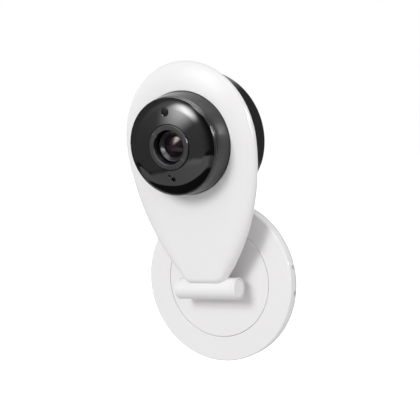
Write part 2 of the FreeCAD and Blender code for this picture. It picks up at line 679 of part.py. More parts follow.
def filter_housing():
    """Open box between lens holder and sensor board; the filter slides across it."""
    front = SENSOR_BOARD_Y - 4.55
    back = SENSOR_BOARD_Y - 0.05
    walls = box(-11.5, 11.5, front, back, LENS_Z - 8, LENS_Z + 8)
    track = box(-10.6, 10.6, FILTER_Y - 0.55, FILTER_Y + 0.55, LENS_Z - 5.1, LENS_Z + 5.1)
    window = box(-4.2, 4.2, front - 1, back + 1, LENS_Z - 4.2, LENS_Z + 4.2)
    return cut_all(walls, [track, window])


def filter_slider():
    """Two-window frame; the infrared-blocking glass covers the sensor at rest."""
    frame = box(-10.2, 3.5, FILTER_Y - 0.45, FILTER_Y + 0.45, LENS_Z - 5.0, LENS_Z + 5.0)
    holes = [along_y(FILTER_R, FILTER_Y - 1, FILTER_Y + 1, x, LENS_Z) for x in (0.0, -FILTER_TRAVEL)]
    return cut_all(frame, holes)


def filter_glasses():
    return group([along_y(FILTER_R - 0.02, FILTER_Y - 0.3, FILTER_Y + 0.3, x, LENS_Z)
                  for x in (0.0, -FILTER_TRAVEL)])


def filter_coil():
    return box(-4.5, 4.5, SENSOR_BOARD_Y - 4.4, SENSOR_BOARD_Y - 0.4, LENS_Z + 8.1, LENS_Z + 11.5)


def sensor_board():
    return box(-15, 15, SENSOR_BOARD_Y, SENSOR_BOARD_Y + BOARD_T, LENS_Z - 13, LENS_Z + 13)


def image_sensor():
    return box(-3.6, 3.6, SENSOR_BOARD_Y - 1.0, SENSOR_BOARD_Y, LENS_Z - 3.2, LENS_Z + 3.2)


def board_connector():
    return box(-8, 8, SENSOR_BOARD_Y + BOARD_T, MAIN_BOARD_Y - 0.02, LENS_Z - 12, LENS_Z - 8.5)


# ---- infrared lamps, light sensor and microphone --------------------------------
def led_places():
    return [on_circle(15.6, a, LENS_Z) for a in (0, 45, 135, 180, 225, 315)]


def led_board():
    return ring_y(COLLAR_IN_R - 0.15, 11.6, LED_BOARD_Y, LED_BOARD_Y + BOARD_T, 0, LENS_Z)


def infrared_leds():
    lamps = []
    for x, z in led_places():
        body = along_y(1.9, LED_BOARD_Y - 0.9, LED_BOARD_Y, x, z)
        bulb = along_y(1.5, LED_BOARD_Y - 1.6, LED_BOARD_Y - 0.9, x, z)
        lamps.append(fused([body, bulb]))
    return group(lamps)


def light_sensor():
    return box(-1.5, 1.5, LED_BOARD_Y - 1.1, LED_BOARD_Y, LENS_Z + SENSOR_UP - 1.5, LENS_Z + SENSOR_UP + 1.5)


def status_led():
    x = -3.6
    z = LENS_Z - MIC_DOWN + 2.2
    return box(x - 0.6, x + 0.6, LED_BOARD_Y - 0.8, LED_BOARD_Y, z - 0.5, z + 0.5)


def microphone():
    return along_y(2.0, LED_BOARD_Y - 1.5, LED_BOARD_Y, 0, LENS_Z - MIC_DOWN)


def mic_boot():
    """Rubber sleeve that joins the microphone to its hole in the cover."""
    z = LENS_Z - MIC_DOWN
    front = dome_y(MIC_DOWN + 2.4, False) + 0.05
    sleeve = along_y(2.4, front, LED_BOARD_Y - 0.05, 0, z)
    pocket = along_y(2.02, LED_BOARD_Y - 1.52, LED_BOARD_Y + 1, 0, z)
    return cut_all(sleeve, [pocket, along_y(0.8, -60, 0, 0, z)])


# ---- main board and what it carries ----------------------------------------------
def main_board():
    board = along_y(29.6, MAIN_BOARD_Y, MAIN_BACK, 0, LENS_Z)
    board = board.common(box(-60, 60, -60, 10, REAR_FLOOR_Z + REAR_WALL + 0.3, 120))
    return cut_all(board, [along_y(1.3, -30, 10, x, z) for x, z in housing_screw_places()])


def processor():
    return box(-6.5, 6.5, MAIN_BACK, MAIN_BACK + 1.1, 71, 84)


def memory_chips():
    return group([box(x, x + 8, MAIN_BACK, MAIN_BACK + 1.0, z, z + 6) for x, z in ((9, 70), (9, 78))])


def shield_can():
    """Lidded tin box over the radio module."""
    outer = box(-21, -8.5, MAIN_BACK, MAIN_BACK + 2.4, 69.5, 84)
    inner = box(-20.8, -8.7, MAIN_BACK - 1, MAIN_BACK + 2.2, 69.7, 83.8)
    return outer.cut(inner)


def radio_module():
    return box(-19, -10.5, MAIN_BACK, MAIN_BACK + 1.4, 71, 82.5)


def heat_pad():
    return box(-6, 6, MAIN_BACK + 1.1, MAIN_BACK + 2.4, 71.5, 83.5)


def heat_spreader():
    return box(-7.5, 15.5, MAIN_BACK + 2.4, MAIN_BACK + 3.4, 68.5, 86)


def wifi_antenna():
    return box(-15, 15, REAR_BACK_Y - REAR_WALL - 2.2, REAR_BACK_Y - REAR_WALL - 1.6, 89.5, 94.5)


def usb_socket():
    """Power inlet: a folded steel shell with a tongue in it."""
    shell = box(-31.5, -26.2, USB_Y - 1.35, USB_Y + 1.35, USB_Z - 3.75, USB_Z + 3.75)
    hollow = box(-32, -27.0, USB_Y - 1.05, USB_Y + 1.05, USB_Z - 3.45, USB_Z + 3.45)
    tongue = box(-30.8, -26.5, USB_Y - 0.3, USB_Y + 0.3, USB_Z - 2.4, USB_Z + 2.4)
    return fused([shell.cut(hollow), tongue])


def card_socket():
    shell = card_tool(14.0, MAIN_BOARD_Y - 1.95, MAIN_BOARD_Y - 0.02, 16.0, 29.4)
    slot = card_tool(11.6, CARD_Y - 0.55, CARD_Y + 0.55, 17.0, 40)
    return shell.cut(slot)


def reset_switch():
    return box(BUTTON_X - 3, BUTTON_X + 3, MAIN_BACK, MAIN_BACK + 2.0, BUTTON_Z - 3, BUTTON_Z + 3)


def reset_button():
    cap = along_y(BUTTON_R, REAR_IN_Y - 2.0, REAR_BACK_Y + 0.3, BUTTON_X, BUTTON_Z)
    flange = along_y(2.9, REAR_IN_Y - 3.0, REAR_IN_Y - 2.35, BUTTON_X, BUTTON_Z)
    stem = along_y(1.3, MAIN_BACK + 2.0 + BUTTON_TRAVEL + 0.05, REAR_IN_Y - 1.5, BUTTON_X, BUTTON_Z)
    return fused([cap, flange, stem])


def speaker():
    frame = along_y(SPEAKER_R, REAR_IN_Y - 4.0, REAR_IN_Y - 0.85, 0, SPEAKER_Z)
    cone = along_y(7.4, REAR_IN_Y - 1.4, REAR_IN_Y, 0, SPEAKER_Z)
    magnet = along_y(5.0, REAR_IN_Y - 4.6, REAR_IN_Y - 3.9, 0, SPEAKER_Z)
    return fused([frame, magnet]).cut(cone)


def speaker_cone():
    return along_y(7.3, REAR_IN_Y - 1.4, REAR_IN_Y - 1.1, 0, SPEAKER_Z)


def speaker_gasket():
    return ring_y(SPEAKER_R - 0.1, 7.5, REAR_IN_Y - 0.83, REAR_IN_Y - 0.02, 0, SPEAKER_Z)


def led_ribbon():
    """Flat lead that joins the lamp board to the main board past the lens stack."""
    return box(-17.0, -16.6, LED_BOARD_Y + BOARD_T + 0.02, MAIN_BOARD_Y - 0.02, LENS_Z - 3, LENS_Z + 3)


# ---- build ----------------------------------------------------------------------
def build():
    outer = drop_solid()
    inner = drop_solid(SHELL_WALL, SHELL_WALL, 1.2)
    fixed = [base_cover, bottom_plate, steel_weight, base_screws, rubber_pad,
             turntable_disc, hinge_bracket, bracket_screws, thrust_washer, retaining_ring, retainer_screws]
    for make in fixed:
        save(make(), make.__name__)
    leaned = [hinge_barrel, barrel_caps, hinge_pin, hinge_washers, neck_screws, tongue_screws,
              rear_cover, housing_screws, front_collar, collar_clamp, collar_screws,
              front_cover, sensor_window, lens_ring, lens_barrel, lens_glass, rear_element, lens_holder,
              filter_housing, filter_slider, filter_glasses, filter_coil, sensor_board, image_sensor,
              board_connector, led_board, infrared_leds, light_sensor, status_led, microphone, mic_boot,
              main_board, processor, memory_chips, shield_can, radio_module, heat_pad, heat_spreader,
              wifi_antenna, usb_socket, card_socket, reset_switch, reset_button, speaker, speaker_cone,
              speaker_gasket, led_ribbon]
    for make in leaned:
        save_head(make(), make.__name__)
    save_head(front_shell(outer, inner), "front_shell")
    save_head(neck_cover(outer, inner), "neck_cover")


build()
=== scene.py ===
import json
import math
from contextlib import contextmanager

import bmesh
import bpy
from mathutils import Matrix, Vector


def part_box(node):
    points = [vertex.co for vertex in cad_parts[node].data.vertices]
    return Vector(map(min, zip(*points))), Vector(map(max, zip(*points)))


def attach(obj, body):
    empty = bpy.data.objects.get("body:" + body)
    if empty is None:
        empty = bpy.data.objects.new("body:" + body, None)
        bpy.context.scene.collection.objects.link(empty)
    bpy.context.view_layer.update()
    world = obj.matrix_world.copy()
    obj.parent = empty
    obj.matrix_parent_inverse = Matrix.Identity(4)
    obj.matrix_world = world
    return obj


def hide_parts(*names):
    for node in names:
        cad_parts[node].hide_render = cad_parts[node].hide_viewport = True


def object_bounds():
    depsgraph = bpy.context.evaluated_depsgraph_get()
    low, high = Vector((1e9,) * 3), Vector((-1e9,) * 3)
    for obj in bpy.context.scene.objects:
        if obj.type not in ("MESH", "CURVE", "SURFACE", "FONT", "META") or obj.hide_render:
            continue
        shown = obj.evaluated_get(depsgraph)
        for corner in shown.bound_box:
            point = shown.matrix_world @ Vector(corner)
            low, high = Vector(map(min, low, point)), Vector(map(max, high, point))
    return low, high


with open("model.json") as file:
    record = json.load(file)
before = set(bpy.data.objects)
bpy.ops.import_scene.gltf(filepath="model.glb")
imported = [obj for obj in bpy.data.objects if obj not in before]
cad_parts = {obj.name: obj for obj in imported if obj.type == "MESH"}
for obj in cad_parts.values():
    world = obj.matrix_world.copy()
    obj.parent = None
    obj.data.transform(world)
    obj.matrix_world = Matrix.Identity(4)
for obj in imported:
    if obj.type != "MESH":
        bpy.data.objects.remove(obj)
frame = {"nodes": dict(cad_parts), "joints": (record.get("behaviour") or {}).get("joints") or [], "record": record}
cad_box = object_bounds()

# Looks of the baby monitor camera.  Lengths are in millimetres until a mesh is made.
# Head pieces are drawn with the head upright and then leaned about the hinge, as the CAD is.
MM = 0.001
NODES = frame["nodes"]
JOINTS = {joint["name"]: joint for joint in frame["joints"]}

hinge = Vector(JOINTS["head_tilt"]["pos_m"])
press = Vector(JOINTS["setup_button_press"]["axis"])
LEAN = math.atan2(-press.z, -press.y)
TO_HINGE = Matrix.Translation(hinge)
LEANED = TO_HINGE @ Matrix.Rotation(LEAN, 4, "X") @ TO_HINGE.inverted()
UPRIGHT = LEANED.inverted()


def head_box(node):
    """Corners of a head node's box in millimetres, with the lean undone."""
    points = [UPRIGHT @ v.co for v in NODES[node].data.vertices]
    low = Vector([min(p[i] for p in points) for i in range(3)])
    high = Vector([max(p[i] for p in points) for i in range(3)])
    return low / MM, high / MM


def base_box(node):
    low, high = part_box(node)
    return low / MM, high / MM


# ---- mesh helpers -------------------------------------------------------------
@contextmanager
def editing(mesh):
    """Opens a mesh for bmesh operators and writes it back."""
    bm = bmesh.new()
    bm.from_mesh(mesh)
    yield bm
    bm.to_mesh(mesh)
    bm.free()


def sharpen(mesh, degrees=32.0):
    """Smooth faces, with edges sharper than the given angle kept crisp."""
    limit = math.radians(degrees)
    with editing(mesh) as bm:
        bmesh.ops.recalc_face_normals(bm, faces=bm.faces)
        for face in bm.faces:
            face.smooth = True
        for edge in bm.edges:
            edge.smooth = len(edge.link_faces) == 2 and edge.calc_face_angle(0.0) < limit


def new_object(name, data):
    obj = bpy.data.objects.new(name, data)
    bpy.context.scene.collection.objects.link(obj)
    return obj


def new_piece(name, verts, faces):
    mesh = bpy.data.meshes.new(name)
    mesh.from_pydata([Vector(v) * MM for v in verts], [], faces)
    with editing(mesh) as bm:
        bmesh.ops.remove_doubles(bm, verts=bm.verts, dist=1e-6)
        bmesh.ops.dissolve_degenerate(bm, edges=bm.edges, dist=1e-7)
        bmesh.ops.recalc_face_normals(bm, faces=bm.faces)
    return new_object(name, mesh)


def rounded(corners, steps=5):
    """Outline from (radius, along, fillet) corners, with each fillet as a short arc."""
    points = []
    count = len(corners)
    for i, (r, y, fillet) in enumerate(corners):
        here = Vector((r, y))
        if fillet <= 0:
            points.append(here)
            continue
        before = Vector(corners[i - 1][:2]) - here
        after = Vector(corners[(i + 1) % count][:2]) - here
        half = before.angle(after) / 2
        reach = min(fillet / math.tan(half), before.length * 0.49, after.length * 0.49)
        start = here + before.normalized() * reach
        end = here + after.normalized() * reach
        for s in range(steps + 1):
            t = s / steps
            points.append(start * (1 - t) ** 2 + here * 2 * t * (1 - t) + end * t * t)
    return [(p[0], p[1]) for p in points]


def lathe(name, outline, centre=(0.0, 0.0), axis="Y", steps=144):
    """Closed outline of (radius, along) turned about an axis through centre."""
    verts = []
    faces = []
    count = len(outline)
    for s in range(steps):
        a = 2 * math.pi * s / steps
        for r, along in outline:
            u = centre[0] + r * math.cos(a)
            v = centre[1] + r * math.sin(a)
            verts.append((u, along, v) if axis == "Y" else (along, u, v))
    for s in range(steps):
        n = (s + 1) % steps
        for i in range(count):
            j = (i + 1) % count
            if outline[i][0] < 1e-6 and outline[j][0] < 1e-6:
                continue
            faces.append((s * count + i, n * count + i, n * count + j, s * count + j))
    return new_piece(name, verts, faces)


def block(name, x0, x1, y0, y1, z0, z1, bevel=0.0):
    """Box with softened edges."""
    verts = [(x, y, z) for x in (x0, x1) for y in (y0, y1) for z in (z0, z1)]
    faces = [(0, 1, 3, 2), (4, 6, 7, 5), (0, 4, 5, 1), (2, 3, 7, 6), (0, 2, 6, 4), (1, 5, 7, 3)]
    obj = new_piece(name, verts, faces)
    if bevel:
        with editing(obj.data) as bm:
            bmesh.ops.bevel(bm, geom=bm.edges[:], offset=bevel * MM, segments=3, profile=0.5, affect="EDGES")
    return obj


def hole(x, z, r, y_face, y_end, flare=0.15, steps=40):
    """Cutter for a round hole along Y with a small chamfer at its mouth."""
    out = math.copysign(1.0, y_face - y_end)
    outline = [(0, y_face + out * 0.5), (r + flare + 0.5, y_face + out * 0.5), (r, y_face - out * flare),
               (r, y_end), (0, y_end)]
    return lathe("cutter", outline, (x, z), "Y", steps)


def join(objects, name):
    """One object holding the meshes of several."""
    bm = bmesh.new()
    for obj in objects:
        obj.data.transform(obj.matrix_world)
        bm.from_mesh(obj.data)
        bpy.data.objects.remove(obj)
    mesh = bpy.data.meshes.new(name)
    bm.to_mesh(mesh)
    bm.free()
    return new_object(name, mesh)


def bake(obj):
    """Apply an object's modifiers to its mesh."""
    deps = bpy.context.evaluated_depsgraph_get()
    deps.update()
    mesh = bpy.data.meshes.new_from_object(obj.evaluated_get(deps))
    obj.modifiers.clear()
    obj.data = mesh


def combine(obj, other, operation="DIFFERENCE"):
    mod = obj.modifiers.new("combine", "BOOLEAN")
    mod.operation = operation
    mod.solver = "EXACT"
    mod.object = other
    bake(obj)
    bpy.data.objects.remove(other)


def carve(obj, cutters):
    for cutter in cutters:
        combine(obj, cutter)


def fuse(obj, others):
    for other in others:
        combine(obj, other, "UNION")


def bevel_modifier(obj, width, segments, degrees=None):
    """Rounded edges, only where faces meet at more than an angle if one is given."""
    mod = obj.modifiers.new("soften", "BEVEL")
    mod.width = width * MM
    mod.segments = segments
    if degrees:
        mod.limit_method = "ANGLE"
        mod.angle_limit = math.radians(degrees)


def mend(mesh):
    """Close the hairline gaps that cutting leaves, and drop faces and edges of no size."""
    hairline = 1e-7
    with editing(mesh) as bm:
        bmesh.ops.remove_doubles(bm, verts=bm.verts, dist=hairline)
        bmesh.ops.dissolve_degenerate(bm, edges=bm.edges, dist=hairline)
        gaps = [edge for edge in bm.edges if len(edge.link_faces) == 1]
        bmesh.ops.holes_fill(bm, edges=gaps, sides=0)


def weigh_normals(obj):
    obj.modifiers.new("weighted", "WEIGHTED_NORMAL").keep_sharp = True


def paint(obj, slot_name):
    obj.data.materials.clear()
    obj.data.materials.append(MATERIALS[slot_name])


def finish_piece(obj, body, slot_name, nodes, lean=False, angle=32.0):
    """Shade, place under its body, paint, and hide the CAD nodes that a piece stands for."""
    if lean:
        obj.data.transform(LEANED)
    mend(obj.data)
    sharpen(obj.data, angle)
    weigh_normals(obj)
    paint(obj, slot_name)
    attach(obj, body)
    if nodes:
        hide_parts(*nodes)
    return obj


# ---- materials ----------------------------------------------------------------
def shader(name):
    material = bpy.data.materials.new(name)
    material.use_nodes = True
    tree = material.node_tree
    return material, tree, tree.nodes["Principled BSDF"]


def feed(tree, socket, value):
    """Give a socket a plain value, or link it to the output of another node."""
    if isinstance(value, bpy.types.NodeSocket):
        tree.links.new(value, socket)
    else:
        socket.default_value = value


def feed_all(tree, node, **values):
    """Sockets of a node by name, or its properties where it has no such socket."""
    for key, value in values.items():
        label = key.replace("_", " ")
        if label in node.inputs:
            feed(tree, node.inputs[label], value)
        else:
            setattr(node, key, value)
    return node


def add(tree, kind, **values):
    """New node of a kind, with its sockets or properties set by name."""
    return feed_all(tree, tree.nodes.new(kind), **values)


def on_object(tree):
    return add(tree, "ShaderNodeTexCoord").outputs["Object"]


def object_noise(tree, scale, detail=2.0, stretch=(1, 1, 1)):
    mapping = add(tree, "ShaderNodeMapping", Vector=on_object(tree), Scale=stretch)
    noise = add(tree, "ShaderNodeTexNoise", Vector=mapping.outputs["Vector"], Scale=scale, Detail=detail)
    return noise.outputs["Fac"]


def remap(tree, value, low, high, start=0.35, end=0.65, kind="LINEAR"):
    made = add(tree, "ShaderNodeMapRange", interpolation_type=kind, Value=value, From_Min=start,
               From_Max=end, To_Min=low, To_Max=high)
    return made.outputs["Result"]


def soften(tree, value, low, high, start, end):
    """Like remap, with an eased start and end."""
    return remap(tree, value, low, high, start, end, "SMOOTHSTEP")


def mix_colour(tree, factor, a, b):
    made = add(tree, "ShaderNodeMix", data_type="RGBA")
    for number, value in ((0, factor), (6, a), (7, b)):
        feed(tree, made.inputs[number], value)
    return made.outputs[2]


def bump(tree, shader_node, height, depth):
    made = add(tree, "ShaderNodeBump", Strength=1.0, Distance=depth, Height=height)
    if shader_node.inputs["Normal"].links:
        tree.links.new(shader_node.inputs["Normal"].links[0].from_socket, made.inputs["Normal"])
    tree.links.new(made.outputs["Normal"], shader_node.inputs["Normal"])


def edge_wear(tree, low=0.53, high=0.62):
    """Grows from 0 to 1 on outward edges, where hands and cloths rub."""
    geometry = add(tree, "ShaderNodeNewGeometry")
    return remap(tree, geometry.outputs["Pointiness"], 0.0, 1.0, low, high)


def shade(colour, k):
    return tuple(min(1.0, c * k) for c in colour[:3]) + (1.0,)


def moulded(name, colour, rough, spread=0.05, grain=1800.0, depth=0.000012, tint=0.04, wear=None,
            metallic=0.0, specular=0.5, stretch=(1, 1, 1)):
    """Moulded or cast surface: cloudy tone, uneven gloss, fine grain, rubbed edges."""
    material, tree, node = shader(name)
    cloud = object_noise(tree, 45.0, 4.0)
    smear = object_noise(tree, 110.0, 3.0)
    fine = object_noise(tree, grain, 2.0, stretch)
    base = mix_colour(tree, remap(tree, cloud, 0.0, 1.0), shade(colour, 1 - tint), shade(colour, 1 + tint))
    if wear:
        base = mix_colour(tree, edge_wear(tree), base, wear)
    gloss = remap(tree, smear, rough - spread, rough + spread)
    feed_all(tree, node, Base_Color=base, Roughness=gloss, Metallic=metallic, Specular_IOR_Level=specular)
    bump(tree, node, fine, depth)
    return material


def pattern_board(name, colour):
    """Solder mask over branching copper tracks, with tinned pads."""
    material, tree, node = shader(name)
    place = on_object(tree)
    cells = add(tree, "ShaderNodeTexVoronoi", feature="DISTANCE_TO_EDGE", distance="MANHATTAN",
                Vector=place, Scale=420.0)
    pads = add(tree, "ShaderNodeTexVoronoi", feature="F1", distance="CHEBYCHEV", Vector=place, Scale=330.0)
    track = remap(tree, cells.outputs["Distance"], 1.0, 0.0, 0.05, 0.08)
    pad = remap(tree, pads.outputs["Distance"], 1.0, 0.0, 0.10, 0.12)
    masked = mix_colour(tree, track, colour, shade(colour, 1.9))
    tinned = mix_colour(tree, pad, masked, (0.75, 0.70, 0.58, 1))
    gloss = remap(tree, object_noise(tree, 200.0), 0.28, 0.42)
    feed_all(tree, node, Base_Color=tinned, Metallic=pad, Roughness=gloss)
    bump(tree, node, track, 0.00003)
    return material


def banded(name, colour, dark, pitch, axis, rough=0.35, metallic=0.0, depth=0.00004):
    """Fine parallel bands along an axis, such as turned rings, windings or leads."""
    material, tree, node = shader(name)
    wave = add(tree, "ShaderNodeTexWave", bands_direction=axis, Vector=on_object(tree),
               Scale=1.0 / pitch / 3.2, Distortion=0.15)
    striped = mix_colour(tree, wave.outputs["Fac"], dark, colour)
    gloss = remap(tree, object_noise(tree, 300.0), rough - 0.06, rough + 0.08)
    feed_all(tree, node, Base_Color=striped, Roughness=gloss, Metallic=metallic)
    bump(tree, node, wave.outputs["Fac"], depth)
    return material


def brushed(name, colour, rough, stretch, wear=None):
    """Drawn or brushed metal with streaks along its length."""
    return moulded(name, colour, rough, spread=0.1, grain=900.0, depth=0.000015, tint=0.08, wear=wear,
                   metallic=1.0, stretch=stretch)


def gloss_black(name, colour, rough, wear, dusty=0.35):
    """Polished black plastic: a clear top gloss with faint wipe marks and dust."""
    material = moulded(name, colour, rough, spread=0.03, grain=900.0, depth=0.000002, tint=0.25, wear=wear)
    tree = material.node_tree
    node = tree.nodes["Principled BSDF"]
    dust = remap(tree, object_noise(tree, 2600.0, 1.0), 0.0, dusty, 0.69, 0.74)
    before = node.inputs["Base Color"].links[0].from_socket
    feed_all(tree, node, Base_Color=mix_colour(tree, dust, before, (0.25, 0.25, 0.26, 1)))
    return material


def coated_glass(name):
    """Front lens element, nearly black, whose coating mirrors warm, and violet at its edge."""
    material, tree, node = shader(name)
    grazing = add(tree, "ShaderNodeLayerWeight", Blend=0.35)
    patch = object_noise(tree, 160.0, 1.0)
    coating = mix_colour(tree, grazing.outputs["Facing"], (1.0, 0.86, 0.80, 1), (0.80, 0.70, 0.95, 1))
    depth = mix_colour(tree, remap(tree, patch, 0, 1), (0.005, 0.002, 0.004, 1), (0.009, 0.004, 0.007, 1))
    gloss = remap(tree, object_noise(tree, 700.0), 0.10, 0.16)
    feed_all(tree, node, Specular_Tint=coating, Base_Color=depth, Roughness=gloss, Specular_IOR_Level=0.25)
    bump(tree, node, patch, 0.000001)
    return material


def clear_plastic(name, colour, rough):
    material = moulded(name, colour, rough, spread=0.02, grain=900.0, depth=0.000003, tint=0.05)
    node = material.node_tree.nodes["Principled BSDF"]
    node.inputs["Transmission Weight"].default_value = 0.7
    return material


def speckled(name, colour, other, scale, rough, depth):
    """Open foam or paper fibre: small dark pores in a matt sheet."""
    material, tree, node = shader(name)
    pores = add(tree, "ShaderNodeTexVoronoi", Vector=on_object(tree), Scale=scale)
    fine = remap(tree, pores.outputs["Distance"], 0.0, 1.0, 0.1, 0.5)
    gloss = remap(tree, object_noise(tree, 300.0), rough - 0.08, min(1.0, rough + 0.08))
    feed_all(tree, node, Base_Color=mix_colour(tree, fine, other, colour), Roughness=gloss)
    bump(tree, node, fine, depth)
    return material


WORN_WHITE = (0.812, 0.805, 0.806, 1)
WORN_BLACK = (0.05, 0.05, 0.052, 1)


def make_materials():
    """Every slot's material.  Colours are linear, and lengths are in metres as the nodes take them."""
    steel = (0.62, 0.62, 0.63, 1)
    return {
        "white_shell": moulded("white_shell", (0.80, 0.792, 0.797, 1), rough=0.22, spread=0.012,
                grain=2200.0, depth=0.0000025, tint=0.004, wear=WORN_WHITE, specular=0.08),
        "white_plate": moulded("white_plate", (0.80, 0.79, 0.795, 1), rough=0.36, spread=0.04,
                grain=2000.0, depth=0.000006, tint=0.006, wear=WORN_WHITE),
        "steel_plate": brushed("steel_plate", (0.55, 0.56, 0.58, 1), rough=0.38, stretch=(1, 1, 0.08)),
        "screw_steel": brushed("screw_steel", steel, rough=0.3, stretch=(1, 0.1, 1),
                wear=(0.8, 0.8, 0.8, 1)),
        "screw_black": moulded("screw_black", (0.022, 0.022, 0.024, 1), rough=0.38, spread=0.08,
                grain=1500.0, depth=0.00001, tint=0.2, wear=(0.3, 0.3, 0.31, 1), metallic=0.8),
        "pin_steel": brushed("pin_steel", (0.7, 0.7, 0.71, 1), rough=0.22, stretch=(0.05, 1, 1)),
        "pad_rubber": speckled("pad_rubber", (0.055, 0.055, 0.057, 1), other=(0.03, 0.03, 0.03, 1),
                scale=1500.0, rough=0.72, depth=0.00002),
        "nylon": moulded("nylon", (0.72, 0.70, 0.64, 1), rough=0.5, spread=0.08, grain=1300.0,
                depth=0.00002, tint=0.05),
        "black_gloss": gloss_black("black_gloss", (0.012, 0.012, 0.013, 1), rough=0.17,
                wear=(0.018, 0.018, 0.019, 1), dusty=0.12),
        "black_satin": moulded("black_satin", (0.010, 0.010, 0.011, 1), rough=0.34, spread=0.05,
                grain=1700.0, depth=0.000008, tint=0.15, wear=WORN_BLACK, specular=0.36),
        "black_matte": moulded("black_matte", (0.014, 0.014, 0.015, 1), rough=0.62, spread=0.07,
                grain=1900.0, depth=0.00002, tint=0.2, wear=WORN_BLACK),
        "dome_black": gloss_black("dome_black", (0.0025, 0.0025, 0.003, 1), rough=0.06, wear=None,
                dusty=0.03),
        "window_dark": moulded("window_dark", (0.008, 0.007, 0.008, 1), rough=0.14, spread=0.03,
                grain=900.0, depth=0.000003, tint=0.15, specular=0.2),
        "lens_glass": coated_glass("lens_glass"),
        "board_green": pattern_board("board_green", (0.012, 0.085, 0.035, 1)),
        "board_black": pattern_board("board_black", (0.012, 0.012, 0.014, 1)),
        "sensor_chip": banded("sensor_chip", (0.20, 0.30, 0.34, 1), dark=(0.05, 0.03, 0.12, 1),
                pitch=0.0004, axis="X", rough=0.15, metallic=0.4, depth=0.000002),
        "connector_plastic": moulded("connector_plastic", (0.70, 0.66, 0.56, 1), rough=0.42, spread=0.06,
                grain=1500.0, depth=0.00001),
        "led_clear": clear_plastic("led_clear", (0.30, 0.22, 0.30, 1), rough=0.08),
        "chip_black": moulded("chip_black", (0.02, 0.02, 0.022, 1), rough=0.5, spread=0.08, grain=2600.0,
                depth=0.000015, tint=0.2, wear=(0.08, 0.08, 0.08, 1)),
        "shield_metal": brushed("shield_metal", (0.66, 0.66, 0.65, 1), rough=0.3, stretch=(1, 1, 0.1)),
        "heat_pad": speckled("heat_pad", (0.20, 0.30, 0.42, 1), other=(0.12, 0.2, 0.32, 1), scale=1900.0,
                rough=0.8, depth=0.00002),
        "spreader_aluminium": brushed("spreader_aluminium", (0.78, 0.79, 0.8, 1), rough=0.32,
                stretch=(0.08, 1, 1)),
        "copper_coil": banded("copper_coil", (0.80, 0.36, 0.16, 1), dark=(0.28, 0.10, 0.04, 1),
                pitch=0.00022, axis="Z", rough=0.3, metallic=0.9),
        "button_black": moulded("button_black", (0.02, 0.02, 0.021, 1), rough=0.45, spread=0.06,
                grain=1700.0, depth=0.00001, tint=0.15, wear=WORN_BLACK),
        "cone_paper": speckled("cone_paper", (0.045, 0.043, 0.04, 1), other=(0.02, 0.02, 0.02, 1),
                scale=1300.0, rough=0.85, depth=0.00003),
        "foam_black": speckled("foam_black", (0.03, 0.03, 0.031, 1), other=(0.006, 0.006, 0.006, 1),
                scale=1700.0, rough=0.92, depth=0.00006),
        "ribbon_white": banded("ribbon_white", (0.82, 0.81, 0.78, 1), dark=(0.45, 0.42, 0.36, 1),
                pitch=0.0005, axis="Z", rough=0.4),
    }


MATERIALS = make_materials()


# ---- sizes read from the frame --------------------------------------------------
def half_width(low, high):
    return (high.x - low.x) / 2


shell_low, shell_high = head_box("front_shell")
neck_low, neck_high = head_box("neck_cover")
rear_low, rear_high = head_box("rear_cover")
collar_low, collar_high = head_box("front_collar")
dome_low, dome_high = head_box("front_cover")
ring_low, ring_high = head_box("lens_ring")
barrel_low, barrel_high = head_box("hinge_barrel")
lens_low, lens_high = head_box("lens_barrel")
cover_low, cover_high = base_box("base_cover")
plate_low, plate_high = base_box("bottom_plate")
pad_low, pad_high = base_box("rubber_pad")
disc_low, disc_high = base_box("turntable_disc")

LENS_Z = (ring_low.z + ring_high.z) / 2
HINGE_Y = hinge.y / MM
HINGE_Z = hinge.z / MM

# outline of the drop
DROP_A = shell_high.x                        # half width of the egg-shaped top
DROP_Z = LENS_Z - 0.72                       # height of the widest line
DROP_B = shell_high.z - DROP_Z - 0.03
REAR_DEEP = 3.3
MID_Y = neck_high.y - REAR_DEEP              # plane of the widest outline
PLATEAU_Y = shell_low.y
FRONT_DEEP = MID_Y - PLATEAU_Y
TIP_X = 6.6                                  # corner arcs of the tip
TIP_Z = 6.0
TIP_R = 5.4
TOP_ROUND = 14.0                             # doming at the top and at the tip
TIP_ROUND = 3.4
WALL = 2.0
SPLIT_Y = MID_Y + 1.55
REAR_FLOOR_Z = rear_low.z
REAR_WALL = 1.8
NECK_SCREWS = ((-9.5, 30.0), (9.5, 30.0))
HOUSING_SCREW_R = 26.4                       # circle of the four housing screws about the lens axis
CARD_ANGLE = 20.0                            # the card slot's place, in degrees above +X
CARD_Y = -12.2

# hinge
BARREL_R = 5.18
ARM_SLOT_HALF = 7.4                          # half width of the slot that the arm swings in
TONGUE_X = 5.6
TONGUE_TOP = 17.0
TONGUE_SCREWS_Z = (8.0, 14.0)
KNUCKLE_R = 3.3
ARM_HALF = 6.9
ARM_UNDER = 0.9                              # arm below and above the hinge axis
ARM_OVER = 2.3

# bezel
COLLAR_R = half_width(collar_low, collar_high)
BEZEL_R = 22.65
BEZEL_Y = collar_low.y
COLLAR_SEAT_Y = PLATEAU_Y + 0.71
SPIGOT_R = 22.2
RING_R = 10.42
RING_BORE_R = 7.85
SENSOR_UP = 16.2
SENSOR_HOLE_R = 1.9
MIC_DOWN = 15.0
MIC_HOLE_R = 0.95
STATUS_X = -1.9
STATUS_UP = 1.8                              # status lamp's pin-hole above the microphone's
STATUS_HOLE_R = 0.4

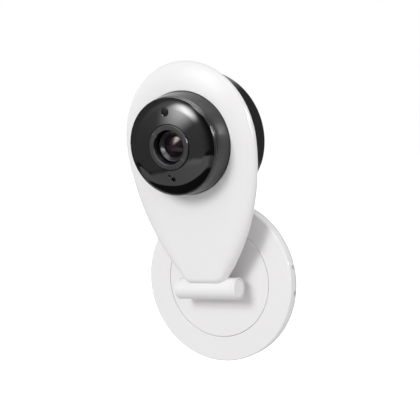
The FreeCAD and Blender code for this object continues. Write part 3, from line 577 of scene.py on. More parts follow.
# domed cover: a gentle middle and a rolled edge
DOME_R = 136.0
DOME_MID_R = 17.3
DOME_ROLL = 8.67
DOME_T = 1.2
DOME_EDGE_R = BEZEL_R - 0.68
DOME_RIM_R = 20.9
DOME_EDGE_Y = BEZEL_Y + 0.1
DOME_TURN = math.asin(DOME_MID_R / DOME_R)
ROLL_CENTRE_R = DOME_MID_R - DOME_ROLL * math.sin(DOME_TURN)
ROLL_CENTRE_Y = DOME_EDGE_Y + math.sqrt(DOME_ROLL ** 2 - (DOME_EDGE_R - ROLL_CENTRE_R) ** 2)
DOME_CENTRE_Y = ROLL_CENTRE_Y + (DOME_R - DOME_ROLL) * math.cos(DOME_TURN)

# base
BASE_R = half_width(cover_low, cover_high)
BASE_FRONT = cover_low.y
DISC_R = half_width(disc_low, disc_high)
SEAM_OUT_R = DISC_R + 0.3
DISC_EDGE_R = DISC_R + 0.18                  # drawn a little larger, for a fine seam with soft edges
SEAM_DEEP = 0.8
BASE_SCREW_R = 34.5
BASE_SKIN = 1.6
NOTCH_ANGLES = (9, -9)


# ---- the drop -------------------------------------------------------------------
def drop_outline(top_in, tip_in):
    """Closed outline of the drop as (x, z), drawn in from the widest one."""
    a = DROP_A - top_in
    b = DROP_B - top_in
    r = TIP_R - tip_in
    rise = TIP_Z - DROP_Z
    u = TIP_X - a
    side_r = (r * r - u * u - rise * rise) / (2 * (u + r))
    side_x = a - side_r
    end = math.atan2(rise, TIP_X - side_x)
    half = []
    for i in range(90):
        t = math.pi / 2 * (1 - i / 90)
        half.append((a * math.cos(t), DROP_Z + b * math.sin(t)))
    for i in range(70):
        t = end * i / 70
        half.append((side_x + side_r * math.cos(t), DROP_Z + side_r * math.sin(t)))
    for i in range(29):
        t = end + (-math.pi / 2 - end) * i / 28
        half.append((TIP_X + r * math.cos(t), TIP_Z + r * math.sin(t)))
    low = half[-1]
    for i in range(1, 7):
        half.append((low[0] * (1 - i / 6), low[1]))
    mirrored = [(-x, z) for x, z in reversed(half[1:-1])]
    return half + mirrored


def bearing(x, z):
    """Direction from the lens axis, clockwise from straight up, 0 to one turn."""
    return math.atan2(x, z - LENS_Z) % (2 * math.pi)


SPOKES = [bearing(x, z) for x, z in drop_outline(0.0, 0.0)]


def reach_table(inset, count=48):
    """How far the outline is from the lens axis along each spoke, for each share of doming."""
    table = []
    for i in range(count + 1):
        k = (i / count) ** 1.5
        points = drop_outline(inset + (TOP_ROUND - inset) * k, inset + TIP_ROUND * k * (1 - inset / TIP_R))
        polar = sorted((bearing(x, z), math.hypot(x, z - LENS_Z)) for x, z in points)
        before = (polar[-1][0] - 2 * math.pi, polar[-1][1])
        after = (polar[0][0] + 2 * math.pi, polar[0][1])
        polar = [before] + polar + [after]
        row = []
        j = 0
        for a in sorted(range(len(SPOKES)), key=lambda s: SPOKES[s]):
            while polar[j + 1][0] < SPOKES[a]:
                j += 1
            (a0, r0), (a1, r1) = polar[j], polar[j + 1]
            share = (SPOKES[a] - a0) / max(1e-12, a1 - a0)
            row.append((a, r0 + (r1 - r0) * share))
        table.append((k, [r for _, r in sorted(row)]))
    return table


def doming_at(table, spoke, reach):
    """Share of doming where a spoke has that reach: 0 at the widest outline, 1 on the flat."""
    for (k0, row0), (k1, row1) in zip(table, table[1:]):
        if reach >= row1[spoke]:
            span = row0[spoke] - row1[spoke]
            share = (row0[spoke] - reach) / span if span > 1e-9 else 0.0
            return k0 + (k1 - k0) * max(0.0, min(1.0, share))
    return 1.0


def reach_at(table, spoke, k):
    for (k0, row0), (k1, row1) in zip(table, table[1:]):
        if k <= k1:
            return row0[spoke] + (row1[spoke] - row0[spoke]) * (k - k0) / (k1 - k0)
    return table[-1][1][spoke]


def depth_of(k):
    return math.sqrt(max(0.0, 2 * k - k * k))


def dome_rows(table, y_deep, start_k, inner_r, count, power=1.9):
    """Rings of points from the outline at start_k in to inner_r, domed by y_deep."""
    rows = []
    for i in range(count + 1):
        share = (i / count) ** power
        row = []
        for s in range(len(SPOKES)):
            start = reach_at(table, s, start_k)
            reach = start + (inner_r - start) * share
            k = max(start_k, doming_at(table, s, reach))
            row.append((reach, MID_Y + y_deep * depth_of(k)))
        rows.append(row)
    return rows


def edge_rows(table, y_deep, start_k, end_k, count):
    """Rings on the steep edge of the drop between two shares of doming."""
    rows = []
    for i in range(count + 1):
        t = math.acos(1 - start_k) + (math.acos(1 - end_k) - math.acos(1 - start_k)) * i / count
        k = 1 - math.cos(t)
        rows.append([(reach_at(table, s, k), MID_Y + y_deep * math.sin(t)) for s in range(len(SPOKES))])
    return rows


def level_row(radius, y):
    return [(radius, y)] * len(SPOKES)


def spoke_solid(name, rows):
    """Closed ring-shaped solid from rows of (reach, y), the last row meeting the first."""
    verts = []
    faces = []
    count = len(SPOKES)
    for row in rows:
        for s, (reach, y) in enumerate(row):
            verts.append((reach * math.sin(SPOKES[s]), y, LENS_Z + reach * math.cos(SPOKES[s])))
    for i in range(len(rows)):
        j = (i + 1) % len(rows)
        for s in range(count):
            n = (s + 1) % count
            faces.append((i * count + s, i * count + n, j * count + n, j * count + s))
    return new_piece(name, verts, faces)


def moved(row, reach_by, y_by):
    return [(reach + reach_by, y + y_by) for reach, y in row]


OUTER = reach_table(0.0)
INNER = reach_table(WALL)
INNER_FRONT = -(FRONT_DEEP - WALL)
INNER_REAR = REAR_DEEP - 1.2                 # the back half of the neck has a thinner wall


def doming_for_depth(share):
    """Doming share at which the edge has risen to a share of its full depth."""
    return 1 - math.sqrt(1 - share * share)


def pegs(places, radius, y0, y1, inner=0.0):
    """Several round posts along Y as one object."""
    made = []
    for x, z in places:
        made.append(lathe("peg", [(inner, y0), (radius, y0), (radius, y1), (inner, y1)], (x, z), "Y", 32))
    return join(made, "pegs")


def around(radius, degrees, z=0.0):
    """Places on a circle about the lens axis or the base's axis, as (x, z)."""
    return [(radius * math.cos(math.radians(a)), z + radius * math.sin(math.radians(a))) for a in degrees]


def hinge_cutter(radius, half):
    outline = [(0, -half), (radius, -half), (radius, half), (0, half)]
    return lathe("cutter", outline, (HINGE_Y, HINGE_Z), "X", 160)


def housing_places():
    return around(HOUSING_SCREW_R, (45, 135, 215, 325), LENS_Z)


def tilted_block(name, width, y0, y1, r0, r1, angle, bevel):
    """Block along a direction given in degrees above +X about the lens axis."""
    made = block(name, r0, r1, y0, y1, -width / 2, width / 2, bevel)
    turn = Matrix.Rotation(-math.radians(angle), 4, "Y")
    made.data.transform(Matrix.Translation((0, 0, LENS_Z * MM)) @ turn)
    return made


def front_shell():
    hole_r = COLLAR_R + 0.12
    spigot_hole_r = SPIGOT_R + 0.1
    fillet = 0.22
    parting = SPLIT_Y - 0.05
    floor_y = PLATEAU_Y + WALL - 0.3
    front = dome_rows(OUTER, -FRONT_DEEP, 0.0, hole_r + fillet, 44)
    split_k = doming_for_depth((parting - MID_Y) / REAR_DEEP)
    split_in_k = doming_for_depth((parting - MID_Y) / INNER_REAR)
    band = edge_rows(OUTER, REAR_DEEP, split_k, 0.0, 5)
    lip = [[(hole_r + fillet * (1 - math.sin(a)), y + fillet * (1 - math.cos(a))) for _, y in front[-1]]
           for a in (math.pi / 6, math.pi / 3, math.pi / 2)]
    inside = dome_rows(INNER, INNER_FRONT, 0.0, spigot_hole_r, 26)
    inside.reverse()
    back_band = edge_rows(INNER, INNER_REAR, 0.0, split_in_k, 4)
    rows = [moved(band[0], -0.12, 0.0), moved(band[0], 0.0, -0.12)] + band[1:] + front[1:] + lip
    rows += [level_row(hole_r, COLLAR_SEAT_Y), level_row(spigot_hole_r, COLLAR_SEAT_Y)]
    rows += inside + back_band[1:]
    shell = spoke_solid("front_shell_skin", rows)
    posts = pegs(housing_places(), 2.5, floor_y, shell_high.y, 0.92)
    lugs = pegs(NECK_SCREWS, 2.0, floor_y, MID_Y + 0.4, 0.82)
    pad = block("pad", -TONGUE_X, TONGUE_X, floor_y, MID_Y - 2.45, 4.0, TONGUE_TOP, 0.3)
    fuse(shell, [posts, lugs, pad])
    scoop = tilted_block("scoop", 13.5, SPLIT_Y - 0.9, SPLIT_Y + 2, 30.5, 40, CARD_ANGLE, 0.5)
    carve(shell, [hinge_cutter(BARREL_R + 0.04, 30), scoop])
    return finish_piece(shell, "head", "white_shell", ["front_shell"], lean=True, angle=38)


def neck_cover():
    parting = SPLIT_Y + 0.05
    open_r = 21.0
    head_seat_y = MID_Y + 2.4
    start_k = doming_for_depth((parting - MID_Y) / REAR_DEEP)
    start_in_k = doming_for_depth((parting - MID_Y) / INNER_REAR)
    outside = dome_rows(OUTER, REAR_DEEP, start_k, open_r, 34, 2.2)
    inside = dome_rows(INNER, INNER_REAR, start_in_k, open_r, 22, 2.2)
    inside.reverse()
    chamfer = 0.12
    edge_y = outside[0][0][1]
    above_edge = [row for row in outside if min(y for _, y in row) > edge_y + chamfer]
    rows = [moved(outside[0], -chamfer, 0.0)] + above_edge + inside
    cover = spoke_solid("neck_cover_skin", rows)
    above = block("above", -60, 60, -30, 10, REAR_FLOOR_Z - 0.15, 130)
    lugs = pegs(NECK_SCREWS, 2.6, MID_Y + 0.5, MID_Y + REAR_DEEP - 0.3)
    combine(cover, lugs, "UNION")
    tools = [above, hinge_cutter(BARREL_R + 0.06, 30), hinge_cutter(BARREL_R + 0.5, ARM_SLOT_HALF)]
    for x, z in NECK_SCREWS:
        tools.append(hole(x, z, 1.0, head_seat_y, MID_Y - 2, 0.0))
        tools.append(hole(x, z, 1.9, MID_Y + REAR_DEEP, head_seat_y, 0.25))
    carve(cover, tools)
    return finish_piece(cover, "head", "white_shell", ["neck_cover"], lean=True, angle=38)


# ---- rear housing ----------------------------------------------------------------
def rear_outline(inset, start):
    """Half section of the rear housing from its front edge to the middle of its back."""
    seam_r = half_width(rear_low, rear_high) - inset
    edge_y = BASE_FRONT + 3.96
    edge_r = seam_r - 1.05
    flat_r = 24.0
    back_y = rear_high.y - inset
    points = [(0, start), (seam_r, start), (edge_r, edge_y)]
    steps = 16
    for i in range(1, steps + 1):
        t = math.pi / 2 * i / steps
        points.append((flat_r + (edge_r - flat_r) * math.cos(t), edge_y + (back_y - edge_y) * math.sin(t)))
    return points + [(0, back_y)]


SPEAKER_Z = 56.0
BUTTON_X = -16.0
BUTTON_Z = 55.0
BUTTON_R = 2.2


def rear_cover():
    wall = REAR_WALL
    back_y = rear_high.y
    screw_seat_y = back_y - 2.6
    guide_r = BUTTON_R + 0.08
    start = SPLIT_Y + 0.05
    shell = lathe("rear_cover_skin", rear_outline(0.0, start), (0, LENS_Z), "Y", 192)
    combine(shell, block("below", -60, 60, -30, 10, -10, REAR_FLOOR_Z))
    bevel_modifier(shell, 0.35, 3, 50)
    bake(shell)
    core = lathe("core", rear_outline(wall, start - 2), (0, LENS_Z), "Y", 128)
    combine(core, block("below", -60, 60, -30, 10, -10, REAR_FLOOR_Z + wall))
    combine(shell, core)
    posts = pegs(housing_places(), 2.5, -9.55, back_y - wall + 0.3)
    combine(shell, posts, "UNION")
    guide_outer_r = 3.4
    guide_start = back_y - wall - 2.2
    guide_end = back_y - wall + 0.3
    guide_outline = [(guide_r, guide_start), (guide_outer_r, guide_start), (guide_outer_r, guide_end),
                     (guide_r, guide_end)]
    guide = lathe("guide", guide_outline, (BUTTON_X, BUTTON_Z), "Y", 40)
    combine(shell, guide, "UNION")
    tools = [hole(x, z, 1.1, screw_seat_y, -30, 0.0) for x, z in housing_places()]
    tools += [hole(x, z, 2.1, back_y, screw_seat_y, 0.25) for x, z in housing_places()]
    grille = [(0.0, SPEAKER_Z)]
    for radius, count in ((2.6, 6), (5.2, 12)):
        for i in range(count):
            a = 2 * math.pi * i / count
            grille.append((radius * math.cos(a), SPEAKER_Z + radius * math.sin(a)))
    tools.append(join([hole(x, z, 0.65, back_y, back_y - wall - 1, 0.12, 20) for x, z in grille], "grille"))
    tools.append(hole(BUTTON_X, BUTTON_Z, guide_r, back_y, -10, 0.2))
    tools.append(tilted_block("card", 12.6, CARD_Y - 0.8, CARD_Y + 0.8, 25, 40, CARD_ANGLE, 0.3))
    usb_low, usb_high = head_box("usb_socket")
    usb_y = (usb_low.y + usb_high.y) / 2
    usb_z = (usb_low.z + usb_high.z) / 2
    tools.append(block("inlet", -40, -25, usb_y - 1.75, usb_y + 1.75, usb_z - 4.1, usb_z + 4.1, 0.6))
    carve(shell, tools)
    return finish_piece(shell, "head", "black_gloss", ["rear_cover"], lean=True, angle=38)


def reset_button():
    low, high = head_box("reset_button")
    stem_r = 1.3
    flange_r = 2.9
    flange_start = rear_high.y - REAR_WALL - 3.0
    flange_end = rear_high.y - REAR_WALL - 2.35
    outline = rounded([(0, low.y, 0), (stem_r, low.y, 0.1), (stem_r, flange_start, 0),
                       (flange_r, flange_start, 0.1), (flange_r, flange_end, 0.1),
                       (BUTTON_R, flange_end, 0), (BUTTON_R, high.y, 0.3),
                       (1.2, high.y, 0.2), (0.9, high.y - 0.15, 0.1), (0, high.y - 0.2, 0)])
    button = lathe("reset_button_cap", outline, (BUTTON_X, BUTTON_Z), "Y", 64)
    return finish_piece(button, "setup_button", "button_black", ["reset_button"], lean=True)


def power_inlet():
    """Folded steel socket with its tongue."""
    low, high = head_box("usb_socket")
    y = (low.y + high.y) / 2
    z = (low.z + high.z) / 2
    sheet = 0.3
    shell = block("power_inlet_socket", low.x, high.x, low.y, high.y, low.z, high.z, 0.45)
    hollow = block("hollow", low.x - 1, high.x - 0.8, low.y + sheet, high.y - sheet, low.z + sheet,
                   high.z - sheet, 0.3)
    carve(shell, [hollow])
    tongue = block("tongue", low.x + 0.7, high.x - 0.4, y - 0.3, y + 0.3, z - 2.4, z + 2.4, 0.12)
    combine(shell, tongue, "UNION")
    return finish_piece(shell, "head", "shield_metal", ["usb_socket"], lean=True)


# ---- bezel and lens ----------------------------------------------------------------
def dome_y(r, skin=0.0):
    """Front of the domed cover at radius r, or a surface that far behind it."""
    if r <= (DOME_R - skin) * math.sin(DOME_TURN):
        return DOME_CENTRE_Y - math.sqrt((DOME_R - skin) ** 2 - r ** 2)
    return ROLL_CENTRE_Y - math.sqrt((DOME_ROLL - skin) ** 2 - (r - ROLL_CENTRE_R) ** 2)


def front_collar():
    groove = BEZEL_Y + 1.25
    back_y = PLATEAU_Y + 0.41
    taper = (COLLAR_R - BEZEL_R) / (back_y - BEZEL_Y)
    inner_r = DOME_RIM_R
    step_r = inner_r - 1.2
    mouth_r = BEZEL_R - 0.6
    led_back = BASE_FRONT - 19.75
    clamp_y = collar_high.y
    seat_y = DOME_EDGE_Y + DOME_T + 0.03

    def wall(y):
        return BEZEL_R + (y - BEZEL_Y) * taper

    seat_edge = COLLAR_SEAT_Y - 0.02
    corners = [(mouth_r, BEZEL_Y, 0.12), (BEZEL_R + 0.02, BEZEL_Y, 0.42),
               (wall(groove - 0.2), groove - 0.2, 0.08), (wall(groove) - 0.3, groove - 0.08, 0.05),
               (wall(groove) - 0.3, groove + 0.08, 0.05), (wall(groove + 0.2), groove + 0.2, 0.1),
               (COLLAR_R, back_y, 0.2), (COLLAR_R, seat_edge, 0.1), (SPIGOT_R, seat_edge, 0),
               (SPIGOT_R, clamp_y, 0.1), (step_r, clamp_y, 0.1), (step_r, led_back, 0),
               (inner_r, led_back, 0), (inner_r, seat_y, 0), (mouth_r, seat_y, 0)]
    collar = lathe("front_collar_ring", rounded(corners), (0, LENS_Z), "Y", 256)
    return finish_piece(collar, "head", "black_gloss", ["front_collar"], lean=True, angle=50)


def front_cover():
    """Domed black window with its sensor, microphone and status holes."""
    bore = RING_R + 0.2
    edge_round = 0.12
    middle_rings = 16
    roll_rings = 20
    front = [(bore, dome_y(bore + edge_round) + edge_round)]
    for i in range(middle_rings):
        r = bore + edge_round + (DOME_MID_R - bore - edge_round) * i / middle_rings
        front.append((r, dome_y(r)))
    steepest = math.asin((DOME_EDGE_R - ROLL_CENTRE_R) / DOME_ROLL)
    for i in range(roll_rings + 1):
        slope = DOME_TURN + (steepest - DOME_TURN) * i / roll_rings
        r = ROLL_CENTRE_R + DOME_ROLL * math.sin(slope)
        front.append((r, ROLL_CENTRE_Y - DOME_ROLL * math.cos(slope)))
    rim_y = DOME_EDGE_Y + DOME_T
    back = [(DOME_EDGE_R, rim_y), (DOME_RIM_R, rim_y)]
    back_rings = 12
    for i in range(back_rings + 1):
        r = DOME_RIM_R + (bore - DOME_RIM_R) * i / back_rings
        back.append((r, dome_y(r, DOME_T)))
    cover = lathe("front_cover_dome", front + back, (0, LENS_Z), "Y", 256)
    through = -25
    mic_z = LENS_Z - MIC_DOWN
    mic_face = dome_y(MIC_DOWN)
    tools = [hole(0, LENS_Z + SENSOR_UP, SENSOR_HOLE_R, dome_y(SENSOR_UP), through, 0.03, 64),
             hole(0, mic_z, MIC_HOLE_R, mic_face, through, 0.18, 48),
             hole(STATUS_X, mic_z + STATUS_UP, STATUS_HOLE_R, mic_face, through, 0.08, 32)]
    carve(cover, tools)
    polish(cover)
    return finish_cover(cover)


def polish(obj):
    """Exact normals on the domed front, so that reflections run true round its holes."""
    mesh = obj.data
    sharpen(mesh, 30)
    smooth = [corner.vector.copy() for corner in mesh.corner_normals]
    for face in mesh.polygons:
        for corner in face.loop_indices:
            spot = mesh.vertices[mesh.loops[corner].vertex_index].co / MM
            across = Vector((spot.x, 0, spot.z - LENS_Z))
            centre = Vector((0, DOME_CENTRE_Y, LENS_Z))
            if across.length > DOME_MID_R:
                centre = Vector((0, ROLL_CENTRE_Y, LENS_Z)) + across.normalized() * ROLL_CENTRE_R
            out = (spot - centre).normalized()
            if face.normal.dot(out) > 0.998:
                smooth[corner] = out
    mesh.normals_split_custom_set(smooth)


def finish_cover(cover):
    cover.data.transform(LEANED)
    paint(cover, "dome_black")
    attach(cover, "head")
    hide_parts("front_cover")
    return cover


def sensor_window():
    front = dome_y(SENSOR_UP) + 0.35
    back = front + 1.2
    radius = SENSOR_HOLE_R - 0.05
    outline = rounded([(0, front, 0), (radius, front, 0.15), (radius, back, 0.1), (0, back, 0)])
    window = lathe("sensor_window_plug", outline, (0, LENS_Z + SENSOR_UP), "Y", 64)
    return finish_piece(window, "head", "window_dark", ["sensor_window"], lean=True)


def lens_ring():
    """Bezel ring with a flange behind the cover and shallow steps down its bore."""
    front = ring_low.y
    back = ring_high.y
    flange_r = RING_R + 0.9
    flange_start = front + 2.0
    flange_end = front + 2.8
    tail_r = 9.6
    bore_start = front + 3.6
    bore_flare = 0.75
    corners = [(RING_BORE_R, front, 0.3), (RING_R, front, 0.35), (RING_R, flange_start, 0),
               (flange_r, flange_start, 0.1), (flange_r, flange_end, 0.1), (tail_r, flange_end, 0),
               (tail_r, back, 0.15), (RING_BORE_R + bore_flare, back, 0.1)]
    steps = 5
    bore = []
    for i in range(steps):
        y = bore_start + (back - bore_start) * (1 - i / steps)
        r = RING_BORE_R + bore_flare * (y - bore_start) / (back - bore_start)
        bore.append((r, y - 0.4, 0.05))
        bore.append((r - 0.14, y - 1.2, 0.05))
    corners += bore + [(RING_BORE_R, front + 3.0, 0.1)]
    ring = lathe("lens_ring_bezel", rounded(corners), (0, LENS_Z), "Y", 192)
    return finish_piece(ring, "head", "black_satin", ["lens_ring"], lean=True, angle=40)


def lens_barrel():
    """Lens barrel with a smooth head, a funnel round its front glass and a threaded tail."""
    front = lens_low.y
    back = lens_high.y
    head_r = 7.0
    head_back = front + 4.6
    crest_r = 5.95
    root_r = 5.7
    glass_r = 5.05
    throat_r = 3.2
    corners = [(5.1, front + 1.5, 0.15), (6.55, front, 0.25), (head_r, front + 0.1, 0.2),
               (head_r, head_back, 0.2), (crest_r, head_back, 0)]
    threads = 12
    for i in range(threads):
        y = head_back + (back - head_back) * (i + 0.5) / threads
        corners.append((crest_r, y - 0.2, 0))
        corners.append((root_r, y, 0))
        corners.append((crest_r, y + 0.2, 0))
    corners += [(crest_r, back, 0.1), (throat_r, back, 0.1), (throat_r, front + 6.0, 0),
                (glass_r, front + 4.0, 0), (glass_r, front + 2.1, 0)]
    barrel = lathe("lens_barrel_body", rounded(corners), (0, LENS_Z), "Y", 160)
    return finish_piece(barrel, "head", "black_satin", ["lens_barrel"], lean=True, angle=40)


def lens_glass():
    low, high = head_box("lens_glass")
    radius = half_width(low, high)
    bulge = 1.2
    sphere = (radius ** 2 + bulge ** 2) / (2 * bulge)
    outline = []
    rings = 24
    for i in range(rings + 1):
        r = radius * 0.99 * i / rings
        outline.append((r, low.y + sphere - math.sqrt(sphere ** 2 - r ** 2)))
    outline += [(radius, low.y + bulge + 0.05), (radius, high.y - 0.1), (radius - 0.1, high.y), (0, high.y)]
    glass = lathe("lens_front_glass", outline, (0, LENS_Z), "Y", 128)
    return finish_piece(glass, "head", "lens_glass", ["lens_glass"], lean=True, angle=50)


# ---- hinge --------------------------------------------------------------------------
def hinge_barrel():
    half = barrel_high.x
    radius = BARREL_R
    pin_bore = 1.5
    cap_deep = 1.6
    cap_bore = 4.56
    seam = half - 1.3
    corners = [(pin_bore, -half + cap_deep, 0), (cap_bore, -half + cap_deep, 0), (cap_bore, -half, 0.16),
               (radius, -half, 0.38)]
    for side in (-seam, seam):
        corners += [(radius, side - 0.08, 0), (radius - 0.1, side, 0), (radius, side + 0.08, 0)]
    corners += [(radius, half, 0.38), (cap_bore, half, 0.16), (cap_bore, half - cap_deep, 0),
                (pin_bore, half - cap_deep, 0)]
    barrel = lathe("hinge_barrel_body", rounded(corners, 7), (HINGE_Y, HINGE_Z), "X", 160)
    tongue = block("tongue", -TONGUE_X, TONGUE_X, MID_Y - 2.4, MID_Y + 0.6, HINGE_Z + 4.0, TONGUE_TOP, 0.25)
    combine(barrel, tongue, "UNION")
    carve(barrel, [arm_slot_cutter(), hinge_cutter(KNUCKLE_R + 0.1, ARM_SLOT_HALF)])
    holes = [hole(0, z, 0.85, -10, -30, 0.0, 24) for z in TONGUE_SCREWS_Z]
    carve(barrel, holes)
    return finish_piece(barrel, "head", "white_shell", ["hinge_barrel"], lean=True, angle=40)


def arm_slot_cutter():
    """Sector swept by the arm as the head tilts, measured from straight back."""
    half = ARM_SLOT_HALF
    reach = 7.0
    down = math.radians(-109)
    up = math.radians(43)
    outline = [(0.0, 0.0)]
    steps = 24
    for i in range(steps + 1):
        a = down + (up - down) * i / steps
        outline.append((reach * math.cos(a), reach * math.sin(a)))
    verts = [(x, HINGE_Y + y, HINGE_Z + z) for x in (-half, half) for y, z in outline]
    count = len(outline)
    faces = [tuple(range(count)), tuple(range(2 * count - 1, count - 1, -1))]
    faces += [(i, (i + 1) % count, count + (i + 1) % count, count + i) for i in range(count)]
    return new_piece("cutter", verts, faces)


def barrel_caps():
    end = head_box("barrel_caps")[1].x
    radius = 4.34
    for side, tag in ((-1, "left"), (1, "right")):
        outer = side * end
        inner = side * (end - 1.5)
        corners = [(0, inner, 0), (radius, inner, 0), (radius, outer, 0.3), (0, outer, 0)]
        cap = lathe("barrel_cap_" + tag, rounded(corners, 5), (HINGE_Y, HINGE_Z), "X", 96)
        finish_piece(cap, "head", "white_shell", ["barrel_caps"], lean=True)


def hinge_bracket():
    low, high = base_box("hinge_bracket")
    half = ARM_HALF
    pin_r = 1.55
    foot = block("hinge_bracket_arm", low.x, high.x, disc_low.y + 2.02, high.y, low.z, high.z, 0.0)
    bevel_modifier(foot, 0.25, 2)
    bake(foot)
    arm_back = disc_low.y + 2.6
    arm = block("arm", -half, half, HINGE_Y, arm_back, HINGE_Z - ARM_UNDER, HINGE_Z + ARM_OVER, 0.35)
    combine(foot, arm, "UNION")
    section = rounded([(pin_r, -half, 0.1), (KNUCKLE_R, -half, 0.3), (KNUCKLE_R, half, 0.3),
                       (pin_r, half, 0.1)])
    knuckle = lathe("knuckle", section, (HINGE_Y, HINGE_Z), "X", 96)
    combine(foot, knuckle, "UNION")
    bore = lathe("cutter", [(0, -9), (pin_r, -9), (pin_r, 9), (0, 9)], (HINGE_Y, HINGE_Z), "X", 64)
    carve(foot, [bore])
    return finish_piece(foot, "turntable", "white_shell", ["hinge_bracket"], angle=35)


# ---- base ---------------------------------------------------------------------------
def base_cover():
    skin = BASE_SKIN
    back = cover_high.y
    inner_r = BASE_R - skin
    ledge_r = 31.2
    ledge_back = BASE_FRONT + 2.15
    disc_bore = DISC_EDGE_R + 0.03
    wall_back = plate_front() - 0.3
    corners = [(SEAM_OUT_R, BASE_FRONT, 0.55), (BASE_R, BASE_FRONT, 1.0), (BASE_R, wall_back, 0.18),
               (inner_r, wall_back, 0), (inner_r, BASE_FRONT + skin, 0.4),
               (ledge_r, BASE_FRONT + skin, 0.2), (ledge_r, ledge_back, 0.1), (disc_bore, ledge_back, 0.1),
               (disc_bore, BASE_FRONT + SEAM_DEEP + 0.1, 0.03), (SEAM_OUT_R, BASE_FRONT + SEAM_DEEP, 0.03)]
    cover = lathe("base_cover_shell", rounded(corners, 8), (0, 0), "Y", 288)
    bosses = pegs(base_places(), 2.2, BASE_FRONT + skin - 0.3, back, 0.92)
    combine(cover, bosses, "UNION")
    carve(cover, rim_notches())
    return finish_piece(cover, "base", "white_shell", ["base_cover"], angle=50)


def base_places():
    return around(BASE_SCREW_R, (90, 210, 330))


def plate_front():
    return pad_low.y - 1.0


def rim_notches():
    """Cutters for two pry notches in the rim's +X side, where the cover meets the bottom plate."""
    seam = plate_front()
    notches = []
    half = 1.0
    for angle in NOTCH_ANGLES:
        notch = block("notch", BASE_R - 1.1, BASE_R + 1, seam - 2.0, seam + 0.3, -half, half, 0.15)
        notch.data.transform(Matrix.Rotation(math.radians(angle), 4, "Y"))
        notches.append(notch)
    return notches


def bottom_plate():
    lip_r = BASE_R - BASE_SKIN - 0.1
    lip_in_r = lip_r - 0.4
    front = plate_front()
    back = plate_high.y
    pad_r = half_width(pad_low, pad_high) + 0.1
    corners = [(0, front, 0), (lip_in_r, front, 0), (lip_in_r, front - 0.8, 0.1), (lip_r, front - 0.8, 0.1),
               (lip_r, front, 0), (BASE_R, front, 0.18), (BASE_R, back, 0.35), (pad_r, back, 0.1),
               (pad_r, pad_low.y, 0), (0, pad_low.y, 0)]
    plate = lathe("bottom_plate_disc", rounded(corners, 5), (0, 0), "Y", 288)
    tools = rim_notches()
    for x, z in base_places():
        tools.append(hole(x, z, 1.0, pad_low.y, front - 1, 0.0, 32))
        tools.append(hole(x, z, 2.0, pad_low.y, pad_low.y - 0.55, 0.0, 32))
    carve(plate, tools)
    return finish_piece(plate, "base", "white_plate", ["bottom_plate"], angle=40)


def rubber_pad():
    """Non-slip pad with fine rings pressed into its back."""
    radius = half_width(pad_low, pad_high)
    back = pad_high.y
    corners = [(0, pad_low.y, 0), (radius, pad_low.y, 0.1), (radius, back, 0.2)]
    rings = 5
    pitch = 6.2
    ring_deep = 0.25
    for i in range(rings):
        r = radius - 4.0 - pitch * i
        corners.append((r, back, 0.1))
        corners.append((r - 0.3, back - ring_deep, 0.05))
        corners.append((r - 1.1, back - ring_deep, 0.05))
        corners.append((r - 1.4, back, 0.1))
    corners.append((0, back, 0))
    pad = lathe("rubber_pad_disc", rounded(corners, 3), (0, 0), "Y", 192)
    return finish_piece(pad, "base", "pad_rubber", ["rubber_pad"], angle=35)


def turntable_disc():
    """Disc with a boss behind it and the arm's slot through its face."""
    front = disc_low.y
    back = disc_high.y
    mid = front + 2.0
    boss_out_r = 25
    boss_in_r = 18
    corners = [(0, front, 0), (11, front, 0), (20, front, 0), (DISC_EDGE_R, front, 0.55),
               (DISC_EDGE_R, mid, 0.1), (boss_out_r, mid, 0), (boss_out_r, back, 0.1),
               (boss_in_r, back, 0.1), (boss_in_r, mid, 0),
               (0, mid, 0)]
    disc = lathe("turntable_plate", rounded(corners, 6), (0, 0), "Y", 288)
    gap = 0.05
    slot = block("slot", -ARM_HALF - gap, ARM_HALF + gap, -20, 0, HINGE_Z - ARM_UNDER - gap,
                 HINGE_Z + ARM_OVER + gap, 0.3)
    carve(disc, [slot])
    return finish_piece(disc, "turntable", "white_shell", ["turntable_disc"], angle=40)


# ---- everything else keeps its CAD mesh -----------------------------------------------
def paint_cad_nodes():
    """CAD nodes that stay get their slot's material, and small bevels where they are blocky."""
    slots = {part["node"]: part["material_slot"] for part in frame["record"]["subparts"]}
    for name, obj in NODES.items():
        if obj.hide_render:
            continue
        slot_name = slots[name]
        paint(obj, slot_name)
        bevel_modifier(obj, 0.08, 2, 50)
        weigh_normals(obj)


# ---- stage, lights and camera -----------------------------------------------------------
# The studio as polished surfaces mirror it.  Pairs are (azimuth in degrees, value): ROOM and TABLE are
# brightness, and the others are how many degrees below the horizon an edge lies.
ROOM = ((-128, 0.0), (-80, 0.23), (-56, 0.38), (-36, 0.46), (-18, 0.62), (8, 0.4), (24, 0.17), (33, 0.03),
        (110, 0.0))
ROOM_LOW = ((-110, 11.0), (-58, 16.5), (-44, 18.6), (60, 18.0))
TABLE = ((-150, 0.0), (-96, 0.42), (-60, 1.05), (-36, 1.1), (-18, 1.45), (18, 1.5), (30, 0.75), (60, 0.6),
         (110, 0.0))
TABLE_TOP = ((-110, 17.5), (-90, 17.0), (-64, 18.4), (-38, 19.4), (-22, 16.6), (-8, 18.8), (16, 24.3),
             (36, 26.3), (80, 32.0))
TABLE_LOW = ((-110, 25.5), (-62, 33.0), (-40, 29.5), (-28, 33.0), (-4, 40.0), (20, 41.0), (44, 47.0),
             (80, 50.0))
SHADE = 0.04                                 # what is left in the dark parts of the room
LAMP_GLOW = 22.0                             # big soft lamp in front
LAMP_AZIMUTH = -17.5                         # its middle at the height of the horizon
LAMP_LEAN = 0.2                              # degrees its middle moves round for each degree of height
LAMP_SLOPE = 0.55                            # degrees its lower edge rises for each degree round
LAMP_LOW = 12.6
HALO_GLOW = 1.1                              # spill round the lamp
STRIP_GLOW = 140.0                           # narrow lamp at the right
